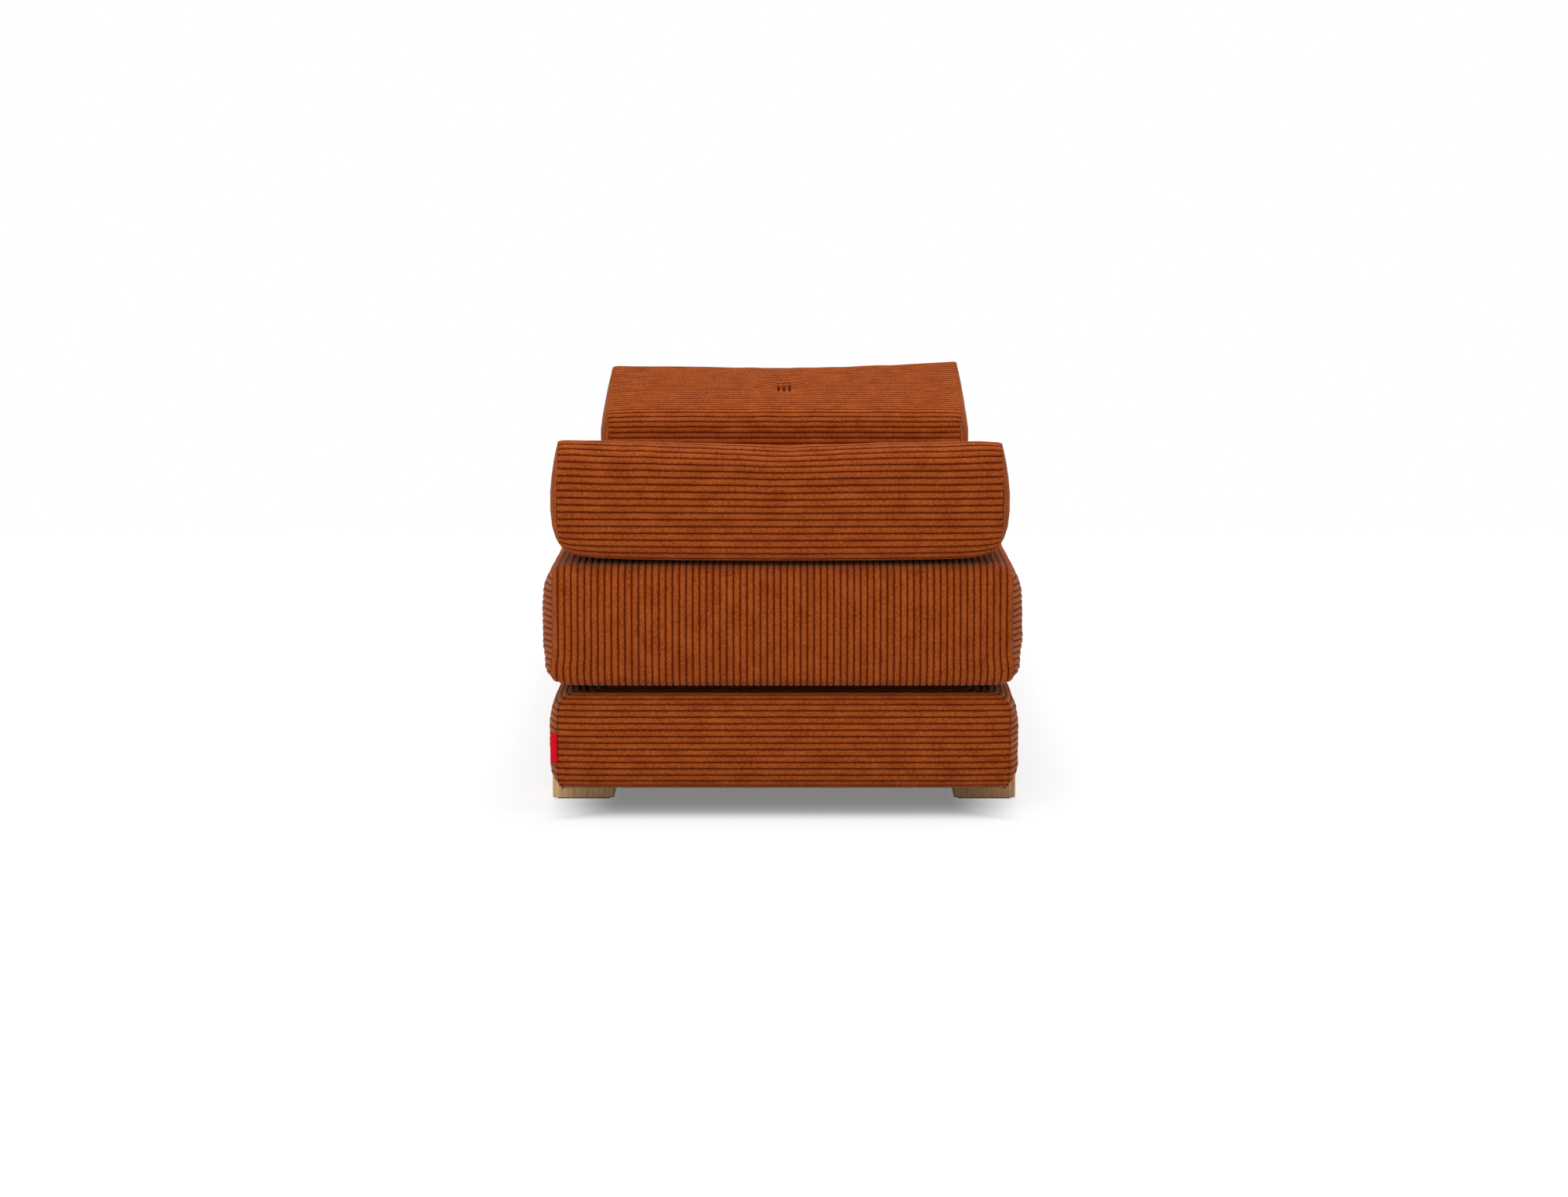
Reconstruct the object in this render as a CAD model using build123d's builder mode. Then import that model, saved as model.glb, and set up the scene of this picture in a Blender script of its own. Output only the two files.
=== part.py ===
from build123d import *
import os
from math import asin, atan2, cos, degrees, sin

# A low sofa bed: an upholstered base on four oak feet, a thick loose mattress on it, and a
# wedge cushion lying at each end. All lengths are in millimetres.
# X runs across the bed, Y along it and Z up, with the origin on the floor under the middle.

os.makedirs("parts", exist_ok=True)

# Fabric and clearances that every soft piece shares
cover_thickness = 3.0
soft_clearance = 0.3
cut_overrun = 5.0
shoulder_length = 90.0
least_bulge = 0.6

# Length of the base and of the mattress, seam to seam
bed_length = 2000.0

# Base, seam to seam
base_width = 796.0
base_underside = 45.0
base_height = 169.0
base_side_bulge = 18.0
base_end_bulge = 9.0
base_edge_roll = 26.0

# Timber frame inside the base
padding_thickness = 22.0
rail_thickness = 22.0
rail_height = 72.0
ledge_width = 16.0
ledge_height = 22.0
centre_rail_width = 36.0
slat_thickness = 12.0
slat_width = 80.0
slat_count = 12
slat_end_clearance = 2.0
hem_width = 40.0
dust_cover_thickness = 1.0
dust_cover_margin = 20.0

# Feet and the blocks that they are bolted to
foot_width = 110.0
foot_length = 110.0
foot_height = 66.0
foot_setback = 120.0
foot_reveal = 2.0
foot_edge_radius = 4.0
glide_thickness = 3.0
glide_margin = 16.0
foot_block_width = 90.0
foot_block_height = 38.0
bolt_diameter = 8.0
bolt_head_diameter = 14.0
bolt_head_height = 5.0
bolt_depth_in_foot = 40.0
bolt_spacing = 60.0
bolt_edge_distance = 21.0
bolt_clearance = 0.2
screw_diameter = 5.0
screw_length = 60.0
screw_end_distance = 18.0
screw_clearance = 0.1

# Blank woven tab in the corner seam of the base
tab_height = 52.0
tab_width = 13.0
tab_thickness = 1.6
tab_rise = 43.0

# Mattress, seam to seam, a little wider than the base
mattress_overhang = 4.0
mattress_height = 224.0
mattress_side_bulge = 24.0
mattress_end_bulge = 15.0
mattress_edge_roll = 40.0
mattress_crown = 8.0
crown_margin = 60.0
crown_plateau_inset = 170.0
comfort_foam_thickness = 45.0

# End cushions, seam to seam, a little shorter than the mattress is wide
cushion_end_setback = 11.5
cushion_depth = 350.0
cushion_outer_height = 215.0
cushion_inner_height = 126.0
cushion_end_bulge = 14.0
cushion_face_bulge = 8.0
cushion_top_crown = 9.0
cushion_bottom_lift = 20.0
cushion_outer_radius = 30.0
cushion_inner_radius = 24.0
cushion_flat_length = 460.0
tuft_depth = 13.0
tuft_dimple_radius = 160.0
twine_diameter = 2.4
twine_clearance = 0.3
tuft_disc_diameter = 30.0
tuft_disc_thickness = 3.0

# Zips
zip_length = 600.0
zip_height = 12.0
zip_groove_depth = 1.5
zip_proud = 0.4
zip_rise_on_cushion = 52.0
slider_length = 9.0
slider_height = 8.0
slider_thickness = 3.5
pull_length = 24.0
pull_width = 5.0
pull_thickness = 1.6

# Widths, levels and faces that several pieces share
mattress_width = base_width + 2 * mattress_overhang
cushion_length = mattress_width - 2 * cushion_end_setback
base_top = base_underside + base_height
rail_bottom = foot_height
rail_top = rail_bottom + rail_height
ledge_top = rail_top - slat_thickness
frame_half_x = base_width / 2 - cover_thickness - padding_thickness
frame_half_y = bed_length / 2 - cover_thickness - padding_thickness
inner_half_x = frame_half_x - rail_thickness
inner_half_y = frame_half_y - rail_thickness
mattress_bottom = base_top + soft_clearance
mattress_top = mattress_bottom + mattress_height
cushion_bottom = mattress_top + soft_clearance
cushion_inner_y = bed_length / 2 - cushion_depth
core_inset = cover_thickness + soft_clearance

# Heights, bulges and turned-in edges of a boxed cushion, from its bottom to its top,
# as shares of its height, of its side bulge and of its edge roll
box_height_shares = (0.0, 0.02, 0.065, 0.13, 0.27, 0.43, 0.57, 0.73, 0.87, 0.935, 0.98, 1.0)
box_bulge_shares = (0.0, 0.03, 0.10, 0.30, 0.76, 1.0, 1.0, 0.76, 0.30, 0.10, 0.03, 0.0)
box_roll_shares = (1.0, 0.46, 0.14, 0.0, 0.0, 0.0, 0.0, 0.0, 0.0, 0.14, 0.46, 1.0)


def shoulder_arc(seam, shoulder):
    """The quarter-like arc from a corner seam to where a bulged side runs straight."""
    bulge = min(abs(shoulder[0] - seam[0]), abs(shoulder[1] - seam[1]))
    reach = max(abs(shoulder[0] - seam[0]), abs(shoulder[1] - seam[1]))
    radius = (bulge**2 + reach**2) / (2 * bulge)
    half_turn = asin(reach / radius) / 2
    out = radius * cos(half_turn) - radius + bulge
    along = reach - radius * sin(half_turn)
    if abs(shoulder[0] - seam[0]) < abs(shoulder[1] - seam[1]):
        out_sign = 1 if shoulder[0] > seam[0] else -1
        along_sign = 1 if shoulder[1] > seam[1] else -1
        middle = (seam[0] + out_sign * out, seam[1] + along_sign * along)
    else:
        out_sign = 1 if shoulder[1] > seam[1] else -1
        along_sign = 1 if shoulder[0] > seam[0] else -1
        middle = (seam[0] + along_sign * along, seam[1] + out_sign * out)
    return ThreePointArc(seam, middle, shoulder)


def pillow_outline(half_x, half_y, bulge_x, bulge_y):
    """The plan of a boxed cushion: drawn in at its corner seams, straight between shoulders."""
    side_x = half_x + bulge_x
    end_y = half_y + bulge_y
    run_x = half_x - shoulder_length
    run_y = half_y - shoulder_length
    with BuildLine() as outline:
        Line((-run_x, -end_y), (run_x, -end_y))
        shoulder_arc((half_x, -half_y), (run_x, -end_y))
        shoulder_arc((half_x, -half_y), (side_x, -run_y))
        Line((side_x, -run_y), (side_x, run_y))
        shoulder_arc((half_x, half_y), (side_x, run_y))
        shoulder_arc((half_x, half_y), (run_x, end_y))
        Line((run_x, end_y), (-run_x, end_y))
        shoulder_arc((-half_x, half_y), (-run_x, end_y))
        shoulder_arc((-half_x, half_y), (-side_x, run_y))
        Line((-side_x, run_y), (-side_x, -run_y))
        shoulder_arc((-half_x, -half_y), (-side_x, -run_y))
        shoulder_arc((-half_x, -half_y), (-run_x, -end_y))
    return outline.line


def boxed_form(width, length, bottom, height, side_bulge, end_bulge, edge_roll, inset):
    """A boxed cushion as a loft of plans, each taken in by inset from the outer surface."""
    with BuildPart() as form:
        for share, bulge_share, roll_share in zip(box_height_shares, box_bulge_shares, box_roll_shares):
            level = bottom + inset + share * (height - 2 * inset)
            turned_in = inset + roll_share * edge_roll
            with BuildSketch(Plane.XY.offset(level)):
                add(
                    pillow_outline(
                        width / 2 - turned_in,
                        length / 2 - turned_in,
                        least_bulge + bulge_share * side_bulge,
                        least_bulge + bulge_share * end_bulge,
                    )
                )
                make_face()
        loft(ruled=True)
    return form.part


def base_form(inset):
    """The outer shape of the base, or a shape taken in from it by inset."""
    return boxed_form(
        base_width, bed_length, base_underside, base_height,
        base_side_bulge, base_end_bulge, base_edge_roll, inset,
    )


def mattress_form(inset):
    """The mattress, with a low crown on the free top between the two end cushions."""
    crown_half_x = mattress_width / 2 - mattress_edge_roll - inset
    crown_half_y = cushion_inner_y - crown_margin
    top = mattress_top - inset
    with BuildPart() as form:
        add(
            boxed_form(
                mattress_width, bed_length, mattress_bottom, mattress_height,
                mattress_side_bulge, mattress_end_bulge, mattress_edge_roll, inset,
            )
        )
        for rise, taken_in in ((-cover_thickness, 0), (0, 0), (mattress_crown, crown_plateau_inset)):
            with BuildSketch(Plane.XY.offset(top + rise)):
                RectangleRounded(
                    2 * (crown_half_x - taken_in), 2 * (crown_half_y - taken_in), shoulder_length
                )
        loft(ruled=True)
    return form.part


def block(low_x, high_x, low_y, high_y, low_z, high_z):
    """A plain box between six faces."""
    return Pos((low_x + high_x) / 2, (low_y + high_y) / 2, (low_z + high_z) / 2) * Box(
        high_x - low_x, high_y - low_y, high_z - low_z, mode=Mode.PRIVATE
    )


def save(builder, label):
    """Names a finished piece and writes it as its own file."""
    builder.part.label = label
    export_step(builder.part, "parts/" + label + ".step")


# Feet: four oak blocks, their outer faces level with the bulged sides of the base
foot_outer_x = base_width / 2 + base_side_bulge - foot_reveal
foot_centre_x = foot_outer_x - foot_width / 2
foot_centre_y = bed_length / 2 - foot_setback - foot_length / 2
bolt_x = foot_outer_x - foot_width + bolt_edge_distance
block_centre_x = inner_half_x - foot_block_width / 2
corners = {
    "near_left": (-1, -1),
    "near_right": (1, -1),
    "far_left": (-1, 1),
    "far_right": (1, 1),
}


def foot_space(clearance):
    """The room that the four feet take in the base, with the given clearance round each."""
    with BuildPart() as space:
        with BuildSketch(Plane.XY.offset(-cut_overrun)):
            with GridLocations(2 * foot_centre_x, 2 * foot_centre_y, 2, 2):
                Rectangle(foot_width + 2 * clearance, foot_length + 2 * clearance)
        extrude(amount=foot_height + cut_overrun)
    return space.part


for corner, (side, end) in corners.items():
    foot_centre = Plane.XY.offset(glide_thickness)
    with BuildPart() as foot:
        with BuildSketch(foot_centre):
            with Locations((side * foot_centre_x, end * foot_centre_y)):
                Rectangle(foot_width, foot_length)
        extrude(amount=foot_height - glide_thickness)
        fillet(foot.edges().filter_by(Axis.Z), foot_edge_radius)
        fillet(foot.faces().sort_by(Axis.Z)[0].edges(), glide_thickness / 2)
        bolt_place = (side * bolt_x, end * foot_centre_y)
        with BuildSketch(Plane.XY.offset(foot_height - bolt_depth_in_foot)):
            with Locations(bolt_place):
                with GridLocations(0, bolt_spacing, 1, 2):
                    Circle(bolt_diameter / 2 + bolt_clearance)
        extrude(amount=bolt_depth_in_foot, mode=Mode.SUBTRACT)
    save(foot, "foot_" + corner)

# Glides: a felt pad under each foot, which is what stands on the floor
with BuildPart() as foot_glides:
    with BuildSketch():
        with GridLocations(2 * foot_centre_x, 2 * foot_centre_y, 2, 2):
            RectangleRounded(foot_width - glide_margin, foot_length - glide_margin, foot_edge_radius)
    extrude(amount=glide_thickness)
save(foot_glides, "foot_glides")

# Foot blocks: beech blocks glued inside the long rails, each over the inner part of a foot
for corner, (side, end) in corners.items():
    with BuildPart() as foot_block:
        with BuildSketch(Plane.XY.offset(rail_bottom)):
            with Locations((side * block_centre_x, end * foot_centre_y)):
                Rectangle(foot_block_width, foot_length)
            with Locations((side * bolt_x, end * foot_centre_y)):
                with GridLocations(0, bolt_spacing, 1, 2):
                    Circle(bolt_diameter / 2 + bolt_clearance, mode=Mode.SUBTRACT)
        extrude(amount=foot_block_height)
    save(foot_block, "foot_block_" + corner)

# Foot bolts: two through each block into the foot
with BuildPart() as foot_bolts:
    for side, end in corners.values():
        with BuildSketch(Plane.XY.offset(foot_height - bolt_depth_in_foot)):
            with Locations((side * bolt_x, end * foot_centre_y)):
                with GridLocations(0, bolt_spacing, 1, 2):
                    Circle(bolt_diameter / 2)
        extrude(amount=bolt_depth_in_foot + foot_block_height)
        with BuildSketch(Plane.XY.offset(rail_bottom + foot_block_height)):
            with Locations((side * bolt_x, end * foot_centre_y)):
                with GridLocations(0, bolt_spacing, 1, 2):
                    Circle(bolt_head_diameter / 2)
        extrude(amount=bolt_head_height)
save(foot_bolts, "foot_bolts")

# Frame screws: two at each corner, through the long rail into the end of the short one
screw_levels = (rail_bottom + screw_end_distance, rail_top - screw_end_distance)
screw_y = frame_half_y - rail_thickness / 2


def screws(radius):
    """The eight corner screws, or the holes for them."""
    with BuildPart() as group:
        for side in (-1, 1):
            head_face = Plane(
                origin=(side * frame_half_x, 0, 0), x_dir=(0, 1, 0), z_dir=(-side, 0, 0)
            )
            up = -side
            with BuildSketch(head_face):
                for level in screw_levels:
                    with Locations((-screw_y, up * level), (screw_y, up * level)):
                        Circle(radius)
            extrude(amount=screw_length)
    return group.part


with BuildPart() as frame_screws:
    add(screws(screw_diameter / 2))
save(frame_screws, "frame_screws")

screw_holes = screws(screw_diameter / 2 + screw_clearance)

# Rails: pine boards on edge, the long ones full length and the short ones between them
for name, side in (("left", -1), ("right", 1)):
    with BuildPart() as side_rail:
        with BuildSketch(Plane.XY.offset(rail_bottom)):
            with Locations((side * (frame_half_x - rail_thickness / 2), 0)):
                Rectangle(rail_thickness, 2 * frame_half_y)
        extrude(amount=rail_height)
        add(screw_holes, mode=Mode.SUBTRACT)
    save(side_rail, name + "_rail")

for name, end in (("near", -1), ("far", 1)):
    with BuildPart() as end_rail:
        with BuildSketch(Plane.XY.offset(rail_bottom)):
            with Locations((0, end * (frame_half_y - rail_thickness / 2))):
                Rectangle(2 * inner_half_x, rail_thickness)
        extrude(amount=rail_height)
        add(screw_holes, mode=Mode.SUBTRACT)
    save(end_rail, name + "_end_rail")

# Centre rail and the two ledges, all with their tops level, which carry the slats
with BuildPart() as centre_rail:
    with BuildSketch(Plane.XY.offset(rail_bottom)):
        Rectangle(centre_rail_width, 2 * inner_half_y)
    extrude(amount=ledge_top - rail_bottom)
save(centre_rail, "centre_rail")

for name, side in (("left", -1), ("right", 1)):
    with BuildPart() as slat_ledge:
        with BuildSketch(Plane.XY.offset(ledge_top - ledge_height)):
            with Locations((side * (inner_half_x - ledge_width / 2), 0)):
                Rectangle(ledge_width, 2 * inner_half_y)
        extrude(amount=ledge_height)
    save(slat_ledge, name + "_slat_ledge")

# Slats: birch laths across the frame, evenly spaced
slat_pitch = 2 * inner_half_y / slat_count
for number in range(slat_count):
    slat_y = (number + 0.5) * slat_pitch - inner_half_y
    with BuildPart() as slat:
        with BuildSketch(Plane.XY.offset(ledge_top)):
            with Locations((0, slat_y)):
                Rectangle(2 * (inner_half_x - slat_end_clearance), slat_width)
        extrude(amount=slat_thickness)
        fillet(slat.edges().filter_by(Axis.X), slat_thickness / 4)
    save(slat, "slat_" + str(number + 1))

# Padding: a foam strip on the outside of each rail, which also fills the lower edge roll
feet_room = foot_space(soft_clearance)
roll_inner_x = frame_half_x + soft_clearance
roll_inner_y = frame_half_y + soft_clearance
beyond = bed_length

for name, side in (("left", -1), ("right", 1)):
    inner_face = side * frame_half_x
    outer_side = side * beyond
    with BuildPart() as side_padding:
        add(base_form(core_inset))
        add(
            block(
                min(inner_face, outer_side), max(inner_face, outer_side),
                -frame_half_y, frame_half_y, 0, rail_top,
            ),
            mode=Mode.INTERSECT,
        )
        add(
            block(-roll_inner_x, roll_inner_x, -beyond, beyond, 0, rail_bottom),
            mode=Mode.SUBTRACT,
        )
        add(feet_room, mode=Mode.SUBTRACT)
    save(side_padding, name + "_padding")

for name, end in (("near", -1), ("far", 1)):
    inner_face = end * frame_half_y
    outer_end = end * beyond
    with BuildPart() as end_padding:
        add(base_form(core_inset))
        add(
            block(
                -beyond, beyond,
                min(inner_face, outer_end), max(inner_face, outer_end), 0, rail_top,
            ),
            mode=Mode.INTERSECT,
        )
        add(
            block(-beyond, beyond, -roll_inner_y, roll_inner_y, 0, rail_bottom),
            mode=Mode.SUBTRACT,
        )
    save(end_padding, name + "_padding")

# Base foam: the slab on the slats, which is the second bed when the mattress is off
with BuildPart() as base_foam:
    add(base_form(core_inset))
    add(
        block(-beyond, beyond, -beyond, beyond, rail_top, base_top),
        mode=Mode.INTERSECT,
    )
save(base_foam, "base_foam")

# Base cover: corduroy pulled over the padding, round the lower roll and under the rails
hem_bottom = rail_bottom - cover_thickness
recess_half_x = frame_half_x - cover_thickness
recess_half_y = frame_half_y - cover_thickness
with BuildPart() as base_cover:
    add(base_form(0))
    inside = base_form(cover_thickness) - block(
        -frame_half_x, frame_half_x, -frame_half_y, frame_half_y, 0, rail_bottom
    )
    add(inside, mode=Mode.SUBTRACT)
    add(
        block(-recess_half_x, recess_half_x, -recess_half_y, recess_half_y, 0, hem_bottom),
        mode=Mode.SUBTRACT,
    )
    add(
        block(
            hem_width - frame_half_x, frame_half_x - hem_width,
            hem_width - frame_half_y, frame_half_y - hem_width,
            0, rail_bottom + cut_overrun,
        ),
        mode=Mode.SUBTRACT,
    )
    add(feet_room, mode=Mode.SUBTRACT)
save(base_cover, "base_cover")

# Dust cover: thin black felt stapled under the hem, cut out round the feet
with BuildPart() as dust_cover:
    with BuildSketch(Plane.XY.offset(hem_bottom - dust_cover_thickness)):
        Rectangle(2 * (frame_half_x - dust_cover_margin), 2 * (frame_half_y - dust_cover_margin))
    extrude(amount=dust_cover_thickness)
    add(feet_room, mode=Mode.SUBTRACT)
save(dust_cover, "dust_cover")

# Seam tab: a blank folded ribbon sewn into the left corner seam of the near end
with BuildPart() as seam_tab:
    with BuildSketch(Plane.XY.offset(base_underside + tab_rise)):
        with Locations((-base_width / 2 - least_bulge - soft_clearance - tab_width / 2, -bed_length / 2)):
            RectangleRounded(tab_width, tab_thickness, tab_thickness / 2 - soft_clearance)
    extrude(amount=tab_height)
save(seam_tab, "seam_tab")

# Zips on the mattress and the cushions: tape and coil in a shallow groove, with a slider
slider_gap = soft_clearance
zip_half_height = zip_height / 2


def zip_parts(label, face_y, level, outward):
    """A zip along X on an upright face, and its slider at the left end of its travel."""
    bottom_y = face_y - outward * zip_groove_depth
    top_y = face_y + outward * zip_proud
    with BuildPart() as zip_tape:
        add(
            block(
                -zip_length / 2, zip_length / 2, min(bottom_y, top_y), max(bottom_y, top_y),
                level - zip_half_height, level + zip_half_height,
            )
        )
    save(zip_tape, label + "_zip")
    slider_y = top_y + outward * slider_gap
    slider_top = slider_y + outward * slider_thickness
    pull_y = slider_top - outward * pull_thickness
    slider_x = (slider_length - zip_length) / 2
    with BuildPart() as zip_puller:
        add(
            block(
                slider_x - slider_length / 2, slider_x + slider_length / 2,
                min(slider_y, slider_top), max(slider_y, slider_top),
                level - slider_height / 2, level + slider_height / 2,
            )
        )
        add(
            block(
                slider_x - pull_width / 2, slider_x + pull_width / 2,
                min(pull_y, slider_top), max(pull_y, slider_top),
                level - pull_length, level,
            )
        )
    save(zip_puller, label + "_zip_puller")


def zip_groove(face_y, level, outward):
    """The shallow groove in a cover that a zip is sewn into."""
    bottom_y = face_y - outward * zip_groove_depth
    past_y = face_y + outward * cut_overrun
    return block(
        -zip_length / 2, zip_length / 2, min(bottom_y, past_y), max(bottom_y, past_y),
        level - zip_half_height, level + zip_half_height,
    )


# Mattress: a zipped corduroy cover over a firm core between two comfort layers
mattress_zip_level = mattress_bottom + mattress_height / 2
mattress_far_face = bed_length / 2 + mattress_end_bulge + least_bulge
with BuildPart() as mattress_cover:
    add(mattress_form(0))
    add(mattress_form(cover_thickness), mode=Mode.SUBTRACT)
    add(zip_groove(mattress_far_face, mattress_zip_level, 1), mode=Mode.SUBTRACT)
save(mattress_cover, "mattress_cover")
zip_parts("mattress", mattress_far_face, mattress_zip_level, 1)

lower_joint = mattress_bottom + core_inset + comfort_foam_thickness
upper_joint = mattress_top - core_inset - comfort_foam_thickness
mattress_layers = {
    "mattress_lower_foam": (mattress_bottom, lower_joint),
    "mattress_core_foam": (lower_joint, upper_joint),
    "mattress_upper_foam": (upper_joint, mattress_top + mattress_crown),
}
for label, (low, high) in mattress_layers.items():
    with BuildPart() as mattress_layer:
        add(mattress_form(core_inset))
        add(block(-beyond, beyond, -beyond, beyond, low, high), mode=Mode.INTERSECT)
    save(mattress_layer, label)

# End cushions: places across the length, as shares of half the length between the end
# seams, with how far each section is drawn in and its bottom lifted there, as shares
cushion_across_shares = (0.80, 0.92, 0.98, 1.0)
cushion_draw_in_shares = (0.0, 0.12, 0.45, 1.0)
cushion_lift_shares = (0.10, 0.40, 0.75, 1.0)
end_panel_shares = (0.55, 1.0)
end_panel_inset_shares = (0.35, 1.0)
cushion_draw_in = 5.0
end_panel_taper = 38.0
fillet_height_share = 0.4
slope = atan2(cushion_outer_height - cushion_inner_height, cushion_depth)


def wedge_sections(inset):
    """Each section's place across, how far it is drawn in all round, and its lift."""
    half = cushion_length / 2
    rows = [(cushion_flat_length / 2, 0, 0)]
    for across, draw, lift in zip(cushion_across_shares, cushion_draw_in_shares, cushion_lift_shares):
        rows.append((across * (half - inset), draw * cushion_draw_in, lift * cushion_bottom_lift))
    for out, taper in zip(end_panel_shares, end_panel_inset_shares):
        rows.append(
            (
                half - inset + out * cushion_end_bulge,
                cushion_draw_in + taper * end_panel_taper,
                cushion_bottom_lift,
            )
        )
    return [(-x, draw, lift) for x, draw, lift in reversed(rows)] + rows


def wedge_form(end, inset):
    """An end cushion: low towards the middle of the bed, high at its outer end."""
    with BuildPart() as form:
        for across, draw, lift in wedge_sections(inset):
            taken = inset + draw
            section = Plane(
                origin=(end * across, end * cushion_inner_y, cushion_bottom),
                x_dir=(0, end, 0),
                z_dir=(end, 0, 0),
            )
            low = inset + max(lift, draw)
            inner_u = taken
            outer_u = cushion_depth - taken
            inner_top = cushion_inner_height - taken
            outer_top = cushion_outer_height - taken
            middle_u = (inner_u + outer_u) / 2
            crown_u = middle_u - cushion_top_crown * sin(slope)
            crown_v = (inner_top + outer_top) / 2 + cushion_top_crown * cos(slope)
            bulged_u = outer_u + cushion_face_bulge
            with BuildSketch(section) as outline:
                with BuildLine():
                    Line((inner_u, low), (outer_u, low))
                    ThreePointArc((outer_u, low), (bulged_u, (low + outer_top) / 2), (outer_u, outer_top))
                    ThreePointArc((outer_u, outer_top), (crown_u, crown_v), (inner_u, inner_top))
                    Line((inner_u, inner_top), (inner_u, low))
                make_face()
                widest_radius = (inner_top - low) * fillet_height_share
                outer_side = outline.vertices().sort_by(Axis.X)[-2:]
                fillet(outer_side, min(cushion_outer_radius, widest_radius))
                inner_side = outline.vertices().sort_by(Axis.X)[:2]
                fillet(inner_side, min(cushion_inner_radius, widest_radius))
        loft(ruled=True)
        middle_rise = (cushion_inner_height + cushion_outer_height) / 2
        above = cushion_top_crown + tuft_dimple_radius - tuft_depth
        dimple_y = end * (cushion_inner_y + cushion_depth / 2 - above * sin(slope))
        dimple_z = cushion_bottom + middle_rise + above * cos(slope)
        with Locations((0, dimple_y, dimple_z)):
            Sphere(tuft_dimple_radius + inset, mode=Mode.SUBTRACT)
    return form.part


for name, end in (("near", -1), ("far", 1)):
    label = name + "_cushion"
    inner_face_y = end * cushion_inner_y
    zip_level = cushion_bottom + zip_rise_on_cushion
    with BuildPart() as cushion_cover:
        add(wedge_form(end, 0))
        add(wedge_form(end, cover_thickness), mode=Mode.SUBTRACT)
        add(zip_groove(inner_face_y, zip_level, -end), mode=Mode.SUBTRACT)
    save(cushion_cover, label + "_cover")

    disc_bottom = cushion_bottom + cover_thickness + soft_clearance
    twine_bottom = disc_bottom + tuft_disc_thickness
    centre_rise = (cushion_inner_height + cushion_outer_height) / 2 + cushion_top_crown
    twine_top = cushion_bottom + centre_rise - tuft_depth - core_inset - soft_clearance
    tuft_y = end * (cushion_inner_y + cushion_depth / 2)
    with BuildPart() as tuft_disc:
        with BuildSketch(Plane.XY.offset(disc_bottom)):
            with Locations((0, tuft_y)):
                Circle(tuft_disc_diameter / 2)
        extrude(amount=tuft_disc_thickness)
    save(tuft_disc, label + "_tuft_disc")
    with BuildPart() as tuft_twine:
        with BuildSketch(Plane.XY.offset(twine_bottom)):
            with Locations((0, tuft_y)):
                Circle(twine_diameter / 2)
        extrude(amount=twine_top - twine_bottom)
    save(tuft_twine, label + "_tuft_twine")

    with BuildPart() as cushion_core:
        add(wedge_form(end, core_inset))
        with BuildSketch(Plane.XY.offset(cushion_bottom)):
            with Locations((0, tuft_y)):
                Circle(tuft_disc_diameter / 2 + twine_clearance)
        extrude(amount=twine_bottom + twine_clearance - cushion_bottom, mode=Mode.SUBTRACT)
        with BuildSketch(Plane.XY.offset(cushion_bottom)):
            with Locations((0, tuft_y)):
                Circle(twine_diameter / 2 + twine_clearance)
        extrude(amount=cushion_outer_height, mode=Mode.SUBTRACT)
    save(cushion_core, label + "_core")
    zip_parts(label, inner_face_y, zip_level, -end)

print("slope of the cushion tops, degrees:", round(degrees(slope), 1))
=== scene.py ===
from math import pi, radians

import bmesh
import bpy
import numpy as np
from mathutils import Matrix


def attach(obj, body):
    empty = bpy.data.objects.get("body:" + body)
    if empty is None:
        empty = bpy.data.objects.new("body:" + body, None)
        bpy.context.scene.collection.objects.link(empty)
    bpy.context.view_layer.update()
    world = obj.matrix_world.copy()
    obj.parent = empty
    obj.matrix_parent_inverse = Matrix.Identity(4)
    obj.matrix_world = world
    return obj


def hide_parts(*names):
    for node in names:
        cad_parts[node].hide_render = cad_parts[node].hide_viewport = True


# A low sofa bed in wide-wale orange corduroy: an upholstered base on four oak feet, a thick
# loose mattress on it and a wedge cushion lying at each end. Sizes are in millimetres in the
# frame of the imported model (X across, Y along to the far end, Z up) and meshes are in metres.
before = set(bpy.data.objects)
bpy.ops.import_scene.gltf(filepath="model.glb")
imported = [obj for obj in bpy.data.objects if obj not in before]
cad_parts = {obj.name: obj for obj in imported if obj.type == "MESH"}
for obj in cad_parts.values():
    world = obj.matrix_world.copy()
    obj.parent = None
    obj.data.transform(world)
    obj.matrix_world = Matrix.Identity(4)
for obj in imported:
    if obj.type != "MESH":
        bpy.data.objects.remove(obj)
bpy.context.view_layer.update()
scene = bpy.context.scene
mm = 0.001

# Camera: it looks along the bed from in front of the near end, a little down, as the
# photograph does, so that all of the near end and the slope of the far cushion show.
camera_place = (0.0, -7.0840, 1.1965)
camera_tilt = 7.6539
sensor_width, focal_length = 36.0, 80.897


def placed(name, data):
    """A new object of the scene."""
    made = bpy.data.objects.new(name, data)
    scene.collection.objects.link(made)
    return made


camera_data = bpy.data.cameras.new("camera")
camera_data.sensor_width = sensor_width
camera_data.lens = focal_length
camera = placed("camera", camera_data)
camera.location = camera_place
camera.rotation_euler = (radians(90 - camera_tilt), 0, 0)
scene.camera = camera


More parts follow.
